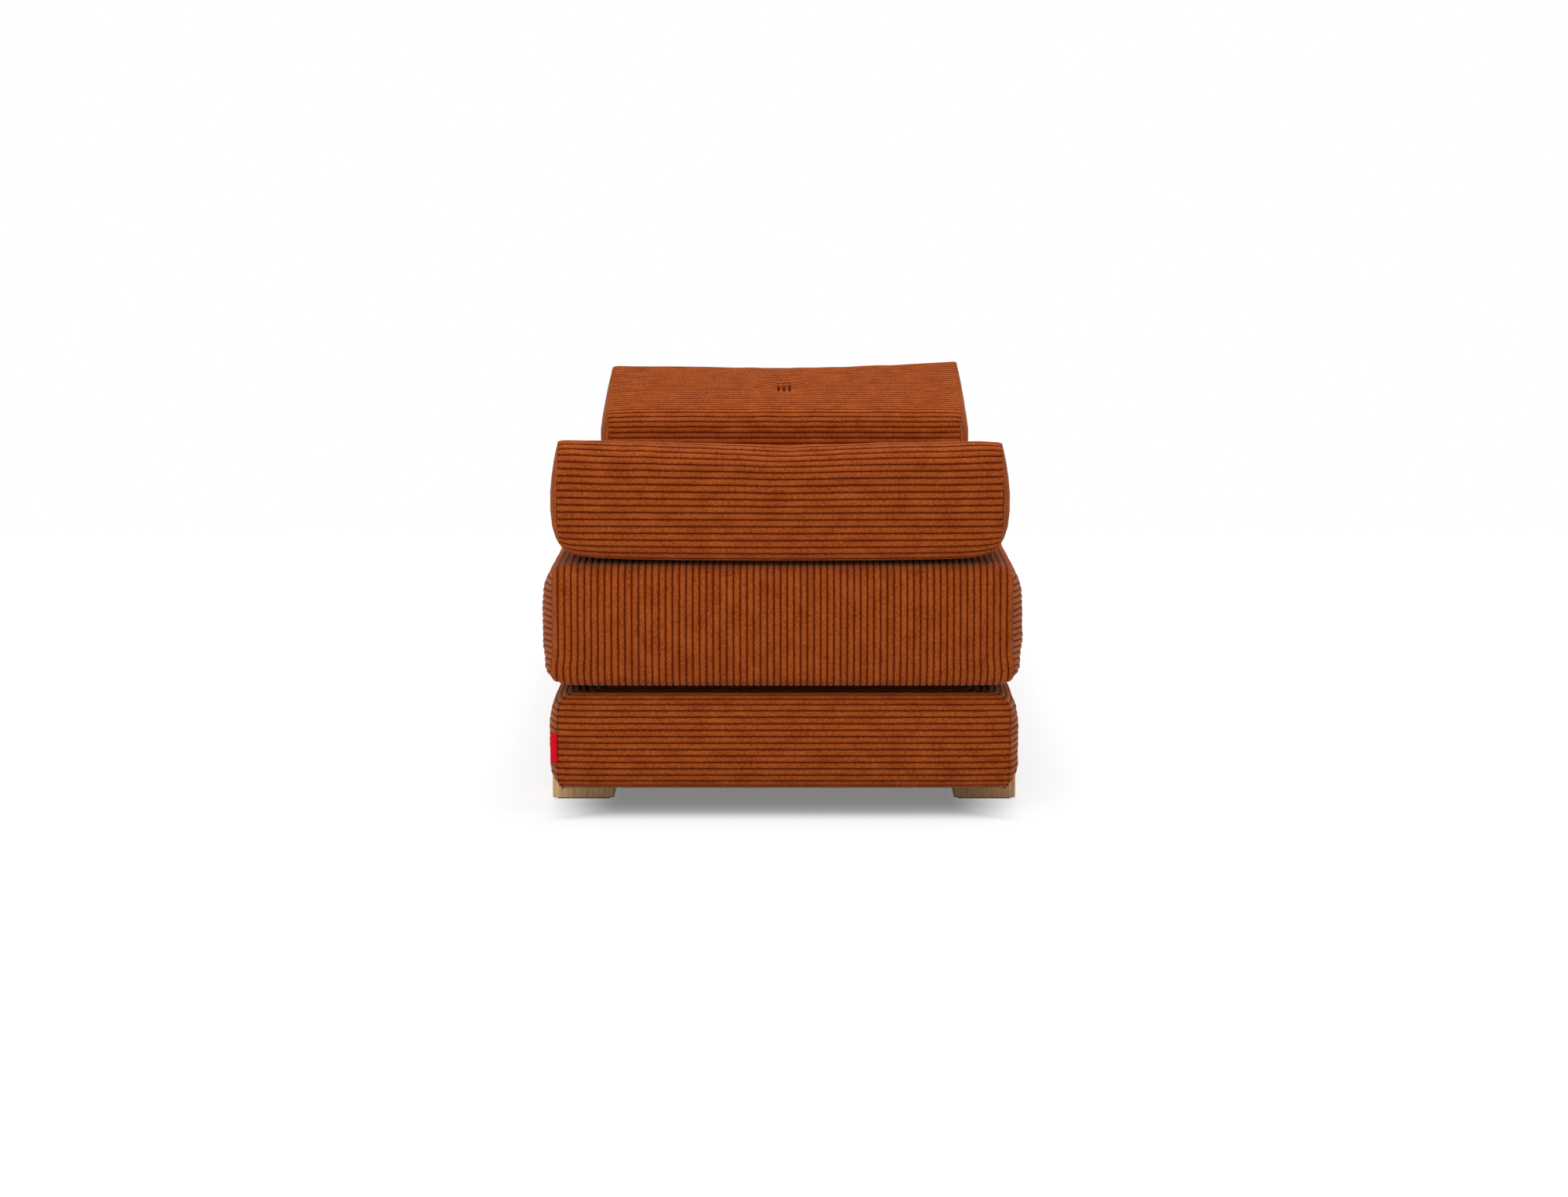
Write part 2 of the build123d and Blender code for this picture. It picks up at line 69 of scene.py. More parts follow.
# Studio: a white floor that keeps the shadow of the bed and a painted shadow round it, white all
# round it for the eye, a plain fill from every side, and two broad lamps above, one in front and
# one over the bed.
def linear(colour):
    """The linear values that Blender works in, from an sRGB hex colour."""
    shares = [int(colour[i : i + 2], 16) / 255 for i in (1, 3, 5)]
    return [c / 12.92 if c <= 0.04045 else ((c + 0.055) / 1.055) ** 2.4 for c in shares] + [1.0]


def add(tree, kind, inputs=(), **settings):
    """Adds a shader node with its settings. An input is a value, a socket, or a node whose
    first output in use is linked."""
    node = tree.nodes.new("ShaderNode" + kind)
    for name, value in settings.items():
        setattr(node, name, value)
    for name, value in dict(inputs).items():
        if isinstance(value, bpy.types.Node):
            value = next(socket for socket in value.outputs if socket.enabled)
        if isinstance(value, bpy.types.NodeSocket):
            tree.links.new(value, node.inputs[name])
        else:
            node.inputs[name].default_value = value
    return node


def seen_directly(tree):
    """1 where a ray shows the surroundings to the eye, also through gloss or glass."""
    ray = add(tree, "LightPath").outputs
    eye = add(tree, "Math", {0: ray["Is Camera Ray"], 1: ray["Is Glossy Ray"]}, operation="MAXIMUM")
    return add(tree, "Math", {0: eye, 1: ray["Is Transmission Ray"]}, operation="MAXIMUM")


def new_material(name):
    """An empty node material and its tree."""
    made = bpy.data.materials.new(name)
    made.use_nodes = True
    made.node_tree.nodes.clear()
    return made, made.node_tree


fill_strength, white_strength = 0.62, 1.0
studio = bpy.data.worlds.new("studio_white")
studio.use_nodes = True
tree = studio.node_tree
tree.nodes.clear()
fill = add(tree, "Background", {"Color": linear("#FFFFFF"), "Strength": fill_strength})
white = add(tree, "Background", {"Color": linear("#FFFFFF"), "Strength": white_strength})
add(tree, "OutputWorld", {"Surface": add(tree, "MixShader", {0: seen_directly(tree), 1: fill, 2: white})})
scene.world = studio
scene.view_settings.view_transform = "Standard"

# White floor paint: it lights the bed as white paint does, but to the eye it is a grey with a
# glow of its own, weak under and just round the bed, that paints a shadow there over the thin
# real shadow that the white of the ground keeps.
floor_paint, tree = new_material("painted_studio_floor")
eye = seen_directly(tree)
tint = add(tree, "Mix", {0: eye, 6: linear("#EDEDED"), 7: linear("#8C8C8C")}, data_type="RGBA")
paint = add(tree, "BsdfDiffuse", {"Color": tint})
place = add(tree, "VectorMath", {0: add(tree, "NewGeometry")}, operation="ABSOLUTE")
place = add(tree, "SeparateXYZ", {0: place}).outputs
# Painted shadow: the glow grows with the distance out from the bed and is weakest under it.
glow_with_painted_shadow = 0.215
for gain, reaches in ((0.51, ((0.29, 0.43), (0.98, 1.09))), (0.22, ((0.47, 0.8), (1.1, 1.4)))):
    beside, before = (
        add(tree, "MapRange", {0: place[axis], 1: start, 2: end}, interpolation_type="SMOOTHSTEP")
        for axis, (start, end) in enumerate(reaches)
    )
    outside = add(tree, "Math", {0: beside, 1: before}, operation="MAXIMUM")
    glow_with_painted_shadow = add(tree, "Math", {0: outside, 1: gain, 2: glow_with_painted_shadow}, operation="MULTIPLY_ADD")
glow_with_painted_shadow = add(tree, "Math", {0: eye, 1: glow_with_painted_shadow}, operation="MULTIPLY")
glow = add(tree, "Emission", {"Color": linear("#FFFFFF"), "Strength": glow_with_painted_shadow})
add(tree, "OutputMaterial", {"Surface": add(tree, "AddShader", {0: paint, 1: glow})})
floor_half = 3.3
floor_mesh = bpy.data.meshes.new("floor")
floor_mesh.from_pydata(
    [(x * floor_half, y * floor_half, 0) for x, y in ((-1, -1), (1, -1), (1, 1), (-1, 1))], [], [(0, 1, 2, 3)]
)
floor_mesh.materials.append(floor_paint)
floor = placed("floor", floor_mesh)

for name, place, size, power, tilt in (
    ("front_lamp", (-1.3, -4.2, 3.4), 3.2, 95.0, (50, -18, 0)),
    ("top_lamp", (0.4, 0.25, 3.6), 3.6, 90.0, (0, 6, 0)),
):
    lamp_data = bpy.data.lights.new(name, "AREA")
    lamp_data.size = size
    lamp_data.energy = power
    lamp = placed(name, lamp_data)
    lamp.location = place
    lamp.rotation_euler = [radians(turn) for turn in tilt]


# Corduroy of the base cover, and of the other covers: cotton with a raised pile cut in wide
# wales 11 to 12 mm apart, sewn in panels. The ground between the wales is drawn dark, partly
# its own colour and partly painted shade in the grooves; the pile is brushed unevenly, and it
# turns paler where it is seen at a slant.
def ease(share):
    """0 below 0, 1 above 1, and a smooth step between them."""
    share = np.clip(share, 0, 1)
    return share * share * (3 - 2 * share)


def bell(distance, width):
    """1 at no distance, and falling over a width on both sides."""
    return np.exp(-((distance / width) ** 2))


def dying(distance, reach):
    """1 at no distance, and dying away over a reach."""
    return np.exp(-distance / reach)


def ripple(a, b, seed):
    """A slow, gentle unevenness of about -1 to 1 over two directions in mm, the same each run."""
    turns = np.random.default_rng(seed).uniform(0, 2 * pi, 6)
    waves = ((310, 170), (-230, 260), (140, -390), (95, 120), (-120, 75), (60, -210))
    total = sum(np.sin(2 * pi * (a / p + b / q) + t) for (p, q), t in zip(waves, turns))
    return total / 3.2


wale_steps = np.array([0, 0.055, 0.15, 0.32, 0.5, 0.68, 0.85, 0.945])


def wales(length, wale):
    """Whole wales over a length: the cloth so far in mm, the pile, and the share of the length."""
    count = round(length / wale)
    across = np.append((np.arange(count)[:, None] + wale_steps).ravel(), count)
    return across * wale, 1 - np.abs(2 * (across % 1) - 1) ** 3.4, across / count


def wales_along(path, wale):
    """Whole wales along a polyline: the cloth, the pile, and the path's columns."""
    run = np.r_[0, np.cumsum(np.hypot(*np.diff(path[:, :2], axis=0).T))]
    cloth, pile, share = wales(run[-1], wale)
    return cloth, pile, [np.interp(share * run[-1], run, column) for column in path.T]


def stacked(*parts):
    """A grid of points from parts of any fitting shapes."""
    return np.stack(np.broadcast_arrays(*parts), -1)


def quads(grid):
    """The faces between the numbered points of a grid."""
    return np.stack([grid[:-1, :-1], grid[1:, :-1], grid[1:, 1:], grid[:-1, 1:]], -1)


def heading(points, closed, axis=0):
    """Which way rows of points run along an axis, at each point."""
    if closed:
        return np.roll(points, -1, axis) - np.roll(points, 1, axis)
    return np.gradient(points, axis=axis)


def show(name, mesh, material, body, replaced):
    """Shows a mesh as a smooth piece that rides a body and stands for CAD nodes."""
    mesh.polygons.foreach_set("use_smooth", [True] * len(mesh.polygons))
    mesh.materials.append(material)
    made = placed(name, mesh)
    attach(made, body)
    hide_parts(*replaced)
    return made


# Painted shade: a fold round a zip gets this low pile, so it takes the dark ground colour.
fold_shade_pile = 0.3
panel_offset = 97.0


class Sewing:
    """Gathers the panels of one sewn piece and joins them into one mesh."""

    def __init__(self, centre):
        self.centre = np.array(centre, float)
        self.points, self.pile, self.cloth, self.faces = [], [], [], []

    def panel(self, smooth, pile, across, lengthwise, depth, closed=(False, False)):
        """Adds a grid of points, lowered by depth where the pile is low; returns their numbers."""
        normal = np.cross(*(heading(smooth, closed[axis], axis) for axis in (0, 1)))
        normal /= np.linalg.norm(normal, axis=2, keepdims=True) + 1e-9
        if ((smooth - self.centre) * normal).sum() < 0:
            normal = -normal
        shape = smooth.shape[:2]
        pile = np.broadcast_to(pile, shape)
        numbers = sum(map(len, self.points)) + np.arange(pile.size).reshape(shape)
        self.points.append((smooth - normal * (depth * (1 - pile))[..., None]).reshape(-1, 3))
        self.pile.append(pile.ravel())
        place = (across, lengthwise, panel_offset * len(self.points))
        self.cloth.append(np.stack([np.broadcast_to(part, shape).ravel() for part in place], 1))
        grid = np.pad(numbers, [(0, int(again)) for again in closed], mode="wrap")
        self.faces += quads(grid).reshape(-1, 4).tolist()
        return numbers

    def stitch(self, one, panel):
        """Joins a closed row of points and the edge of a panel beside it by a strip of triangles."""
        other = np.r_[panel[0, :-1], panel[:-1, -1], panel[-1, :0:-1], panel[:0:-1, 0]]
        points = np.concatenate(self.points)
        rows = []
        low, high = points[one].min(0), points[one].max(0)
        flat = np.argsort(high - low)[1:]
        for row in (one, other):
            offset = (points[row] - (low + high) / 2)[:, flat] / (high - low)[flat]
            turn = np.arctan2(offset[:, 1], offset[:, 0])
            step = (np.roll(turn, -1) - turn + pi) % (2 * pi) - pi
            if step.sum() < 0:
                row, turn = row[::-1], turn[::-1]
            first = int(np.argmin(turn))
            turn = np.maximum.accumulate(np.roll(turn, -first))
            rows.append((np.roll(row, -first).tolist(), turn.tolist() + [turn[0] + 2 * pi]))
        (a, turn_a), (b, turn_b) = rows
        i = j = 0
        while i < len(a) or j < len(b):
            if i < len(a) and (j == len(b) or turn_a[i + 1] <= turn_b[j + 1]):
                self.faces.append([a[i], a[(i + 1) % len(a)], b[j % len(b)]])
                i += 1
            else:
                self.faces.append([a[i % len(a)], b[(j + 1) % len(b)], b[j]])
                j += 1

    def press(self, window, axis, level):
        """Folds a window of the last panel in to one level where a zip lies, and paints shade on it."""
        window = window.ravel()
        self.points[-1][window, axis] = level
        self.pile[-1] = np.where(window, fold_shade_pile, self.pile[-1])

    def tube(self, grid, across, lengthwise, ring=False):
        """Adds a plain grid that is closed round its section, with closed ends or as a ring."""
        rows = self.panel(grid, 1.0, across, lengthwise, 0.0, (ring, True))
        if not ring:
            self.faces += [rows[0].tolist(), rows[-1].tolist()]

    def piece(self, name, material, body, slot, replaced, fill=None):
        """Makes the mesh, with its pile and its place on the cloth, and shows it."""
        mesh = bpy.data.meshes.new(name)
        mesh.from_pydata((np.concatenate(self.points) * mm).tolist(), [], self.faces)
        work = bmesh.new()
        work.from_mesh(mesh)
        bmesh.ops.recalc_face_normals(work, faces=work.faces)
        work.to_mesh(mesh)
        work.free()
        mesh.attributes.new("pile", "FLOAT", "POINT").data.foreach_set(
            "value", np.concatenate(self.pile).astype(np.float32)
        )
        mesh.attributes.new("cloth", "FLOAT_VECTOR", "POINT").data.foreach_set(
            "vector", np.concatenate(self.cloth).astype(np.float32).ravel()
        )
        made = show(name, mesh, material, body, replaced)
        return made


def solid_material(name):
    """An empty node material, its tree, and places in the piece's own space."""
    made, tree = new_material(name)
    return made, tree, add(tree, "TexCoord").outputs["Object"]


def drawn_out(tree, where, spacing, inputs):
    """Noise that has its own spacing along each axis."""
    at = add(tree, "VectorMath", {0: where, 1: [1 / part for part in spacing]}, operation="MULTIPLY")
    return add(tree, "TexNoise", {"Vector": at, "Scale": 1.0, **inputs})


# Cut-pile cotton: rough and dull, with a soft pale sheen at a slant from the standing fibres.
# The brushed patches are 24 by 44 mm and the tufts 3.2 by 5.5 mm, longer along the cloth. The
# single fibres are too fine to show, so their bump is drawn 0.8 mm wide.
corduroy, tree = new_material("cut_pile_cotton_corduroy")
pile = add(tree, "Attribute", attribute_name="pile").outputs["Fac"]
cloth = add(tree, "Attribute", attribute_name="cloth").outputs["Vector"]
patch = drawn_out(tree, cloth, (24, 44, 1), {"Detail": 2.0, "Roughness": 0.55})
tuft = drawn_out(tree, cloth, (3.2, 5.5, 1), {"Detail": 3.0, "Roughness": 0.6})
fibre = drawn_out(tree, cloth, (0.8, 0.8, 1), {"Detail": 2.0})
uneven = add(tree, "Math", {0: tuft, 1: 0.8, 2: 0.165}, operation="MULTIPLY_ADD")
uneven = add(tree, "Math", {0: patch, 1: 0.36, 2: uneven}, operation="MULTIPLY_ADD")
pile_tone = add(tree, "ValToRGB", {"Fac": uneven})
for stop, place, colour in zip(pile_tone.color_ramp.elements, (0.56, 0.92), ("#7D330C", "#A55222")):
    stop.position = place
    stop.color = linear(colour)
wander = add(tree, "Math", {0: tuft, 1: 0.5, 2: pile}, operation="MULTIPLY_ADD")
wander = add(tree, "Math", {0: patch, 1: 0.3, 2: wander}, operation="MULTIPLY_ADD")
# Where the pile is low the cloth takes the dark ground colour: bare ground and painted groove shade.
ground_and_groove_shade = add(tree, "MapRange", {"Value": wander, "From Min": 0.67, "From Max": 1.37})
cotton = add(tree, "Mix", {0: ground_and_groove_shade, 6: linear("#571300"), 7: pile_tone}, data_type="RGBA")
fuzz = add(tree, "Bump", {"Height": fibre, "Strength": 0.35, "Distance": 0.0006})
tufts = add(tree, "Bump", {"Height": tuft, "Strength": 0.4, "Distance": 0.0012, "Normal": fuzz})
cut_pile = add(tree, "BsdfPrincipled", {
    "Base Color": cotton, "Roughness": 0.92, "Specular IOR Level": 0.03, "Sheen Weight": 0.20,
    "Sheen Roughness": 0.42, "Sheen Tint": linear("#FFD6AE"), "Normal": tufts,
})
add(tree, "OutputMaterial", {"Surface": cut_pile})

# Base cover: four wall panels whose wales run level round the base and turn the corners
# where they are sewn, over the top edge as a mitred border and round the lower roll to a hem
# stapled under the rails. A separate panel with lengthwise wales closes the top.
base_half = (398.0, 1000.0)
base_bulge = (18.0, 9.0)
base_low, base_top = 39.5, 213.8
lower_roll = (26.0, 30.0)
upper_roll = (34.0, 30.0)
side_roll_shares = (0.4, 0.88)
rim_drop, valley_drop, valley_insets = 6.0, 4.2, (60.0, 58.0, 75.0)
rail_underside, hem_run, hem_inset, border_width = 63.4, 38.0, 1.5, 88.0
base_wale = 11.34
wale_depth = 2.3
shoulder = 90.0
foot_from_corner, foot_across, foot_top = 120.0, 110.0, 66.4
base_seam_depth, seam_width = 3.0, 2.6


def quarter(count):
    """Sine and cosine of a quarter turn in steps, without its last place."""
    turn = np.linspace(0, pi / 2, count, endpoint=False)
    return np.sin(turn), np.cos(turn)


def base_profile():
    """The wall's line from the hem to the top border: how far in from the end, height, and how
    far in from the side, where the lower roll is tighter."""
    s, c = quarter(12)
    low_share, high_share = side_roll_shares
    low_in, high_in = lower_roll[0] * (1 - s), upper_roll[0] * (1 - c)
    hem, rim = lower_roll[0] + hem_inset, base_top - rim_drop
    rows = [(hem + hem_run, rail_underside, hem + hem_run), (hem + 2, rail_underside, hem + 2)]
    rows += [(hem, rail_underside - 2, hem), (hem, base_low + 4, hem)]
    rows += zip(low_in, base_low + lower_roll[1] * (1 - c), low_share * low_in)
    rows += zip(high_in, rim - upper_roll[1] * (1 - s), high_share * high_in)
    end_valley, side_valley, rise = valley_insets
    rows += [(upper_roll[0], rim, high_share * upper_roll[0]), (end_valley, rim - valley_drop, side_valley)]
    return np.array(rows + [(rise, rim, rise), (border_width, base_top, border_width)])


def swell_from_edge(distance):
    """How far a bulged panel has come out at a distance from its corner seam, as a share."""
    return 1 - np.clip(1 - distance / shoulder, 0, 1) ** 2


def round_the_box(half, bulge, near, spacing, extra=()):
    """Columns round a boxed shape: outward x and y, half sizes, bulge, place, corner distance."""
    made = []
    for outward_x, outward_y in ((0, -1), (1, 0), (0, 1), (-1, 0)):
        half_out, half_run = half if outward_x else half[::-1]
        length = 2 * half_run
        steps = round((length - 2 * near[-1]) / spacing)
        middle = np.linspace(near[-1], length - near[-1], steps + 1)[1:-1]
        places = [near, length - near[1:], middle, extra if outward_x else ()]
        for place in np.unique(np.concatenate(places)):
            made.append((outward_x, outward_y, half_out, half_run, bulge[0 if outward_x else 1],
                         place / half_run - 1, min(place, length - place)))
    return np.array(made, float).T


def box_rings(columns, inset, level, swell, side_inset=None):
    """Closed rings round a boxed shape, one row for each inset, height and share of the bulge."""
    out_x, out_y, half_out, half_run, bulge, share, from_corner = columns
    side_inset = inset if side_inset is None else side_inset
    parts = (inset, level, swell, side_inset)
    inset, level, swell, side_inset = (np.asarray(part, float)[:, None] for part in parts)
    out = half_out - np.where(out_x != 0, side_inset, inset) + swell * bulge * swell_from_edge(from_corner)
    run = share * (half_run - np.where(out_x != 0, inset, side_inset))
    return stacked(out_x * out - out_y * run, out_y * out + out_x * run, level)


corner_near = np.array([0, 1.2, 3, 6, 11, 18, 28, 42, 60, 80])
column_spacing = 45.0
notch = foot_from_corner - np.array([0.7, 0.3])
notch = np.r_[notch, 2 * foot_from_corner + foot_across - notch]
notch = np.r_[notch, 2 * base_half[1] - notch]
base_columns = round_the_box(base_half, base_bulge, corner_near, column_spacing, notch)
out_x, out_y, _, half_run, _, share, from_corner = base_columns
from_foot = np.abs(from_corner - foot_from_corner - foot_across / 2)
at_foot = (out_x != 0) & (from_foot < foot_across / 2 + 0.5)
bulge_levels = (40, 48, 58, 75, 145, 159, 173, 187, 200, 214)
bulge_shares = (0.2, 0.6, 0.85, 1.0, 1.0, 0.92, 0.77, 0.6, 0.38, 0.15)
cloth, pile, (end_inset, level, side_inset) = wales_along(base_profile(), base_wale)
rings = box_rings(base_columns, end_inset, level, np.interp(level, bulge_levels, bulge_shares), side_inset)
wall_share = ease((level - base_low) / 40) * ease((base_top - level) / 40)
moved_out = ripple(rings[..., 0] + rings[..., 1], rings[..., 2] * 2, 3) * wall_share[:, None]
moved_out -= base_seam_depth * bell(from_corner, seam_width)
rings[..., 0] += out_x * moved_out
rings[..., 1] += out_y * moved_out
base_cover = Sewing((0, 0, (base_low + base_top) / 2))
wall = base_cover.panel(
    rings, pile[:, None], cloth[:, None], (share * half_run)[None], wale_depth, (False, True)
)
notched = (rings[..., 2] < foot_top + wale_depth) & at_foot
points = base_cover.points[0].reshape(rings.shape)
points[..., 2] = np.where(notched, np.maximum(points[..., 2], foot_top), points[..., 2])

seam_gap, top_seam_depth, top_sag = 1.0, 2.5, 0.6
cloth, pile, share = wales(2 * (base_half[0] - border_width), base_wale)
top_x = (share * 2 - 1) * (base_half[0] - border_width - seam_gap)
top_y = np.linspace(-1, 1, 46) * (base_half[1] - border_width - seam_gap)
edge = np.minimum((top_x.max() - np.abs(top_x))[None], (top_y.max() - np.abs(top_y))[:, None])
top_z = base_top - top_seam_depth * bell(edge, 3) - top_sag * (1 + ripple(top_x[None], top_y[:, None], 5))
grid = stacked(top_x[None], top_y[:, None], top_z)
top_panel = base_cover.panel(grid, pile[None], cloth[None], top_y[:, None], wale_depth)
base_cover.stitch(wall[-1], top_panel)
base_cover.piece("base_cover_corduroy", corduroy, "base", "orange_corduroy", ["base_cover"], fill=0.8)

# Base foam and padding: a cut slab of soft polyether foam lies on the slats, and strips of the
# same foam are glued along the outside of the rails. The open cells are about 1 mm across and
# are drawn 1.4 mm wide, so that they show.
def two_toned(tree, share, tones, look, relief=(), **settings):
    """Ends a material in two tones mixed by a share. A relief is its height, and the strength
    and the distance in metres of its bump."""
    dark, light = tones
    tone = add(tree, "Mix", {0: share, 6: linear(dark), 7: linear(light)}, data_type="RGBA")
    if relief:
        bump = add(tree, "Bump", dict(zip(("Height", "Strength", "Distance"), relief)), **settings)
        look = {"Normal": bump, **look}
    add(tree, "OutputMaterial", {"Surface": add(tree, "BsdfPrincipled", {"Base Color": tone, **look})})


def open_cell_foam(name, face, cell):
    """Cut foam: dull and dry, with its pinholes painted a little darker than its face as painted shade."""
    made, tree, where = solid_material(name)
    cells = add(tree, "TexVoronoi", {"Vector": where, "Scale": 1 / 0.0014})
    shade = add(tree, "TexNoise", {"Vector": where, "Scale": 1 / 0.05, "Detail": 3.0})
    depth = add(tree, "Math", {0: cells, 1: 0.55, 2: shade}, operation="MULTIPLY_ADD")
    share = add(tree, "MapRange", {"Value": depth, "From Min": 0.35, "From Max": 0.95})
    # Painted shade: the darker tone follows the pinhole pattern of the cells, with a slow noise.
    two_toned(tree, share, (face, cell), {"Roughness": 0.95}, (cells, 0.5, 0.0008), invert=True)
    return made


foams = {
    "soft_foam": open_cell_foam("soft_polyether_foam", "#EFE6CF", "#CDBE9C"),
    "firm_foam": open_cell_foam("firm_resilient_foam", "#D9DFE6", "#AAB4C2"),
}
foam_near = np.array([0, 4, 12, 26, 48, 80])
foam_spacing, foam_rim = 70.0, 4.0


def foam_block(name, body, slot, replaced, half, bulge, levels, settle, fill):
    """A cut block of foam with eased edges, from rows of height, inset and share of the bulge."""
    level, inset, swell = np.array(levels, float).T
    rings = box_rings(round_the_box(half, bulge, foam_near, foam_spacing), inset, level, swell)
    block = Sewing((0, 0, level.mean()))
    wall = block.panel(settle(rings), 1.0, rings[..., 0], rings[..., 1], 0.0, (False, True))
    for row in (0, -1):
        x = np.linspace(-1, 1, 16) * (half[0] - inset[row] - foam_rim)
        y = np.linspace(-1, 1, 34) * (half[1] - inset[row] - foam_rim)
        grid = stacked(x[None], y[:, None], level[row])
        block.stitch(wall[row], block.panel(settle(grid), 1.0, x[None], y[:, None], 0.0))
    block.piece(name, foams[slot], body, slot, [replaced], fill)


foam_block(
    "base_foam_slab", "base", "soft_foam", "base_foam", (388.0, 990.0), (17.0, 8.0),
    [(138.3, 1, 1.0), (140, 0, 1.0), (159, 0, 0.92), (178, 0, 0.7), (188, 3, 0.5), (195, 9, 0.4),
     (199, 18, 0.3), (200.5, 30, 0.2)], lambda points: points, 0.8,
)
strip_section = np.array(
    [(-24.4, 50.6), (-24.4, 94.0), (-24.4, 137.7), (-12.0, 137.7), (-9.0, 134.0), (-8.0, 120.0),
     (-8.0, 96.0), (-8.0, 72.0), (-9.5, 62.0), (-13.5, 53.5), (-18.5, 50.6)]
)
across, up = strip_section.T[:, None]
side_strip_half, end_strip_half, strip_end = 974.4, 391.0, 8.0
for name, outward_x, outward_y in (("left", -1, 0), ("right", 1, 0), ("near", 0, -1), ("far", 0, 1)):
    half_out, edge_of = base_half if outward_x else base_half[::-1]
    half_strip = side_strip_half if outward_x else end_strip_half
    run = np.linspace(strip_end - half_strip, half_strip - strip_end, 24)
    run = np.r_[-half_strip, run, half_strip][:, None]
    swell = swell_from_edge(edge_of - np.abs(run)) * base_bulge[0 if outward_x else 1]
    out = half_out + across + swell * (across > -20)
    grid = stacked(outward_x * out - outward_y * run, outward_y * out + outward_x * run, up)
    strip = Sewing((outward_x * half_out, outward_y * half_out, 94))
    strip.tube(grid, out, run)
    strip.piece(name + "_padding_strip", foams["soft_foam"], "base", "soft_foam", [name + "_padding"], 0.6)

# Timber frame under the cover: planed pine rails, ledges and corner blocks, birch plywood
# slats, and zinc-plated bolts and screws. Growth lines are 2 to 5 mm apart along each board.
def dress(nodes, material):
    """Gives CAD nodes that stay their real finish."""
    for node in nodes:
        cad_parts[node].data.materials.clear()
        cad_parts[node].data.materials.append(material)


def timber(nodes, name, early, late, line, along, roughness):
    """Gives CAD nodes wood whose grain runs along one axis: drawn-out growth lines, and finer
    streaks of pores."""
    made, tree, where = solid_material(name)
    spacing = [line * (30 if axis == along else 1) for axis in range(3)]
    growth = drawn_out(tree, where, spacing, {"Detail": 3.0, "Distortion": 0.6})
    pores = drawn_out(tree, where, [part / 5 for part in spacing], {"Detail": 2.0})
    both = add(tree, "Math", {0: pores, 1: 0.35, 2: growth}, operation="MULTIPLY_ADD")
    share = add(tree, "MapRange", {"Value": both, "From Min": 0.5, "From Max": 0.88})
    two_toned(tree, share, (early, late), {"Roughness": roughness}, (both, 0.25, 0.0005), invert=True)
    dress(nodes, made)


corners = ("near_left", "near_right", "far_left", "far_right")
lengthwise = ["left_rail", "right_rail", "centre_rail", "left_slat_ledge", "right_slat_ledge"]
crosswise = ["near_end_rail", "far_end_rail"] + ["foot_block_" + corner for corner in corners]
slats = [f"slat_{number}" for number in range(1, 13)]
timber(lengthwise, "planed_pine_lengthwise", "#E3C79B", "#C79A62", 0.004, 1, 0.6)
timber(crosswise, "planed_pine_crosswise", "#E3C79B", "#C79A62", 0.004, 0, 0.6)
timber(slats, "birch_plywood", "#E8D2AC", "#D2B27F", 0.005, 0, 0.5)

# Zinc plating: bright bluish metal with a faintly clouded passivated skin, clouds about 3 mm.
zinc, tree, where = solid_material("zinc_plated_steel")
cloud = add(tree, "TexNoise", {"Vector": where, "Scale": 1 / 0.003, "Detail": 3.0})
haze = add(tree, "MapRange", {"Value": cloud, "To Min": 0.26, "To Max": 0.42})
two_toned(tree, cloud, ("#C4C9CE", "#D9DADA"), {"Metallic": 1.0, "Roughness": haze})
dress(["foot_bolts", "frame_screws"], zinc)

# Feet: four blocks of solid oak with the grain upright, planed and oiled, the left ones drawn
# paler than the right ones as painted light, each on a glide of brown pressed wool felt that is
# glued underneath.
left_feet, right_feet = (["foot_near_" + side, "foot_far_" + side] for side in ("left", "right"))
# Painted light: the left feet get paler tones than the right ones.
timber(left_feet, "oiled_oak_pale_board", "#ECC893", "#BC8C58", 0.0032, 2, 0.5)
timber(right_feet, "oiled_oak_brown_board", "#D0A673", "#9E7041", 0.0032, 2, 0.5)


def grained(name, dark, light, spacing, grain, relief, look):
    """A material whose two tones, and its relief if it has any, follow one fine grain."""
    made, tree, where = solid_material(name)
    grain = drawn_out(tree, where, spacing, grain)
    two_toned(tree, grain, (dark, light), look, (grain, *relief) if relief else ())
    return made


# Pressed wool felt: matted fibres about 1 mm apart that catch no light.
wool_felt = grained(
    "pressed_wool_felt", "#8E7050", "#B8966B", [0.0012] * 3, {"Detail": 4.0, "Distortion": 1.5},
    (0.6, 0.0006), {"Roughness": 0.95},
)
dress(["foot_glides"], wool_felt)

# Dust cover: one sheet of black spun-bonded polypropylene, cut out round the feet, stretched
# under the rails and stapled. It hangs a little between the rails. The bonding leaves a close
# pattern of pressed dots 1.6 mm apart.
spun_bonded, tree, where = solid_material("spun_bonded_polypropylene")
dots = add(tree, "TexVoronoi", {"Vector": where, "Scale": 1 / 0.0016, "Randomness": 0.15})
threads = add(tree, "TexNoise", {"Vector": where, "Scale": 1 / 0.0009, "Detail": 3.0, "Distortion": 2.0})
two_toned(tree, threads, ("#131315", "#2C2C2F"), {"Roughness": 0.7}, (dots, 0.5, 0.0004))
dust_half = (353.0, 955.0)
dust_level, dust_sag, dust_thickness = 62.5, 5.0, 0.5
cut_x, cut_y = 298.0, (764.0, 886.0)
centre_rail_half, rail_gap = 18.0, 310.0
x = np.unique(np.r_[np.linspace(-dust_half[0], dust_half[0], 27), -cut_x, cut_x])
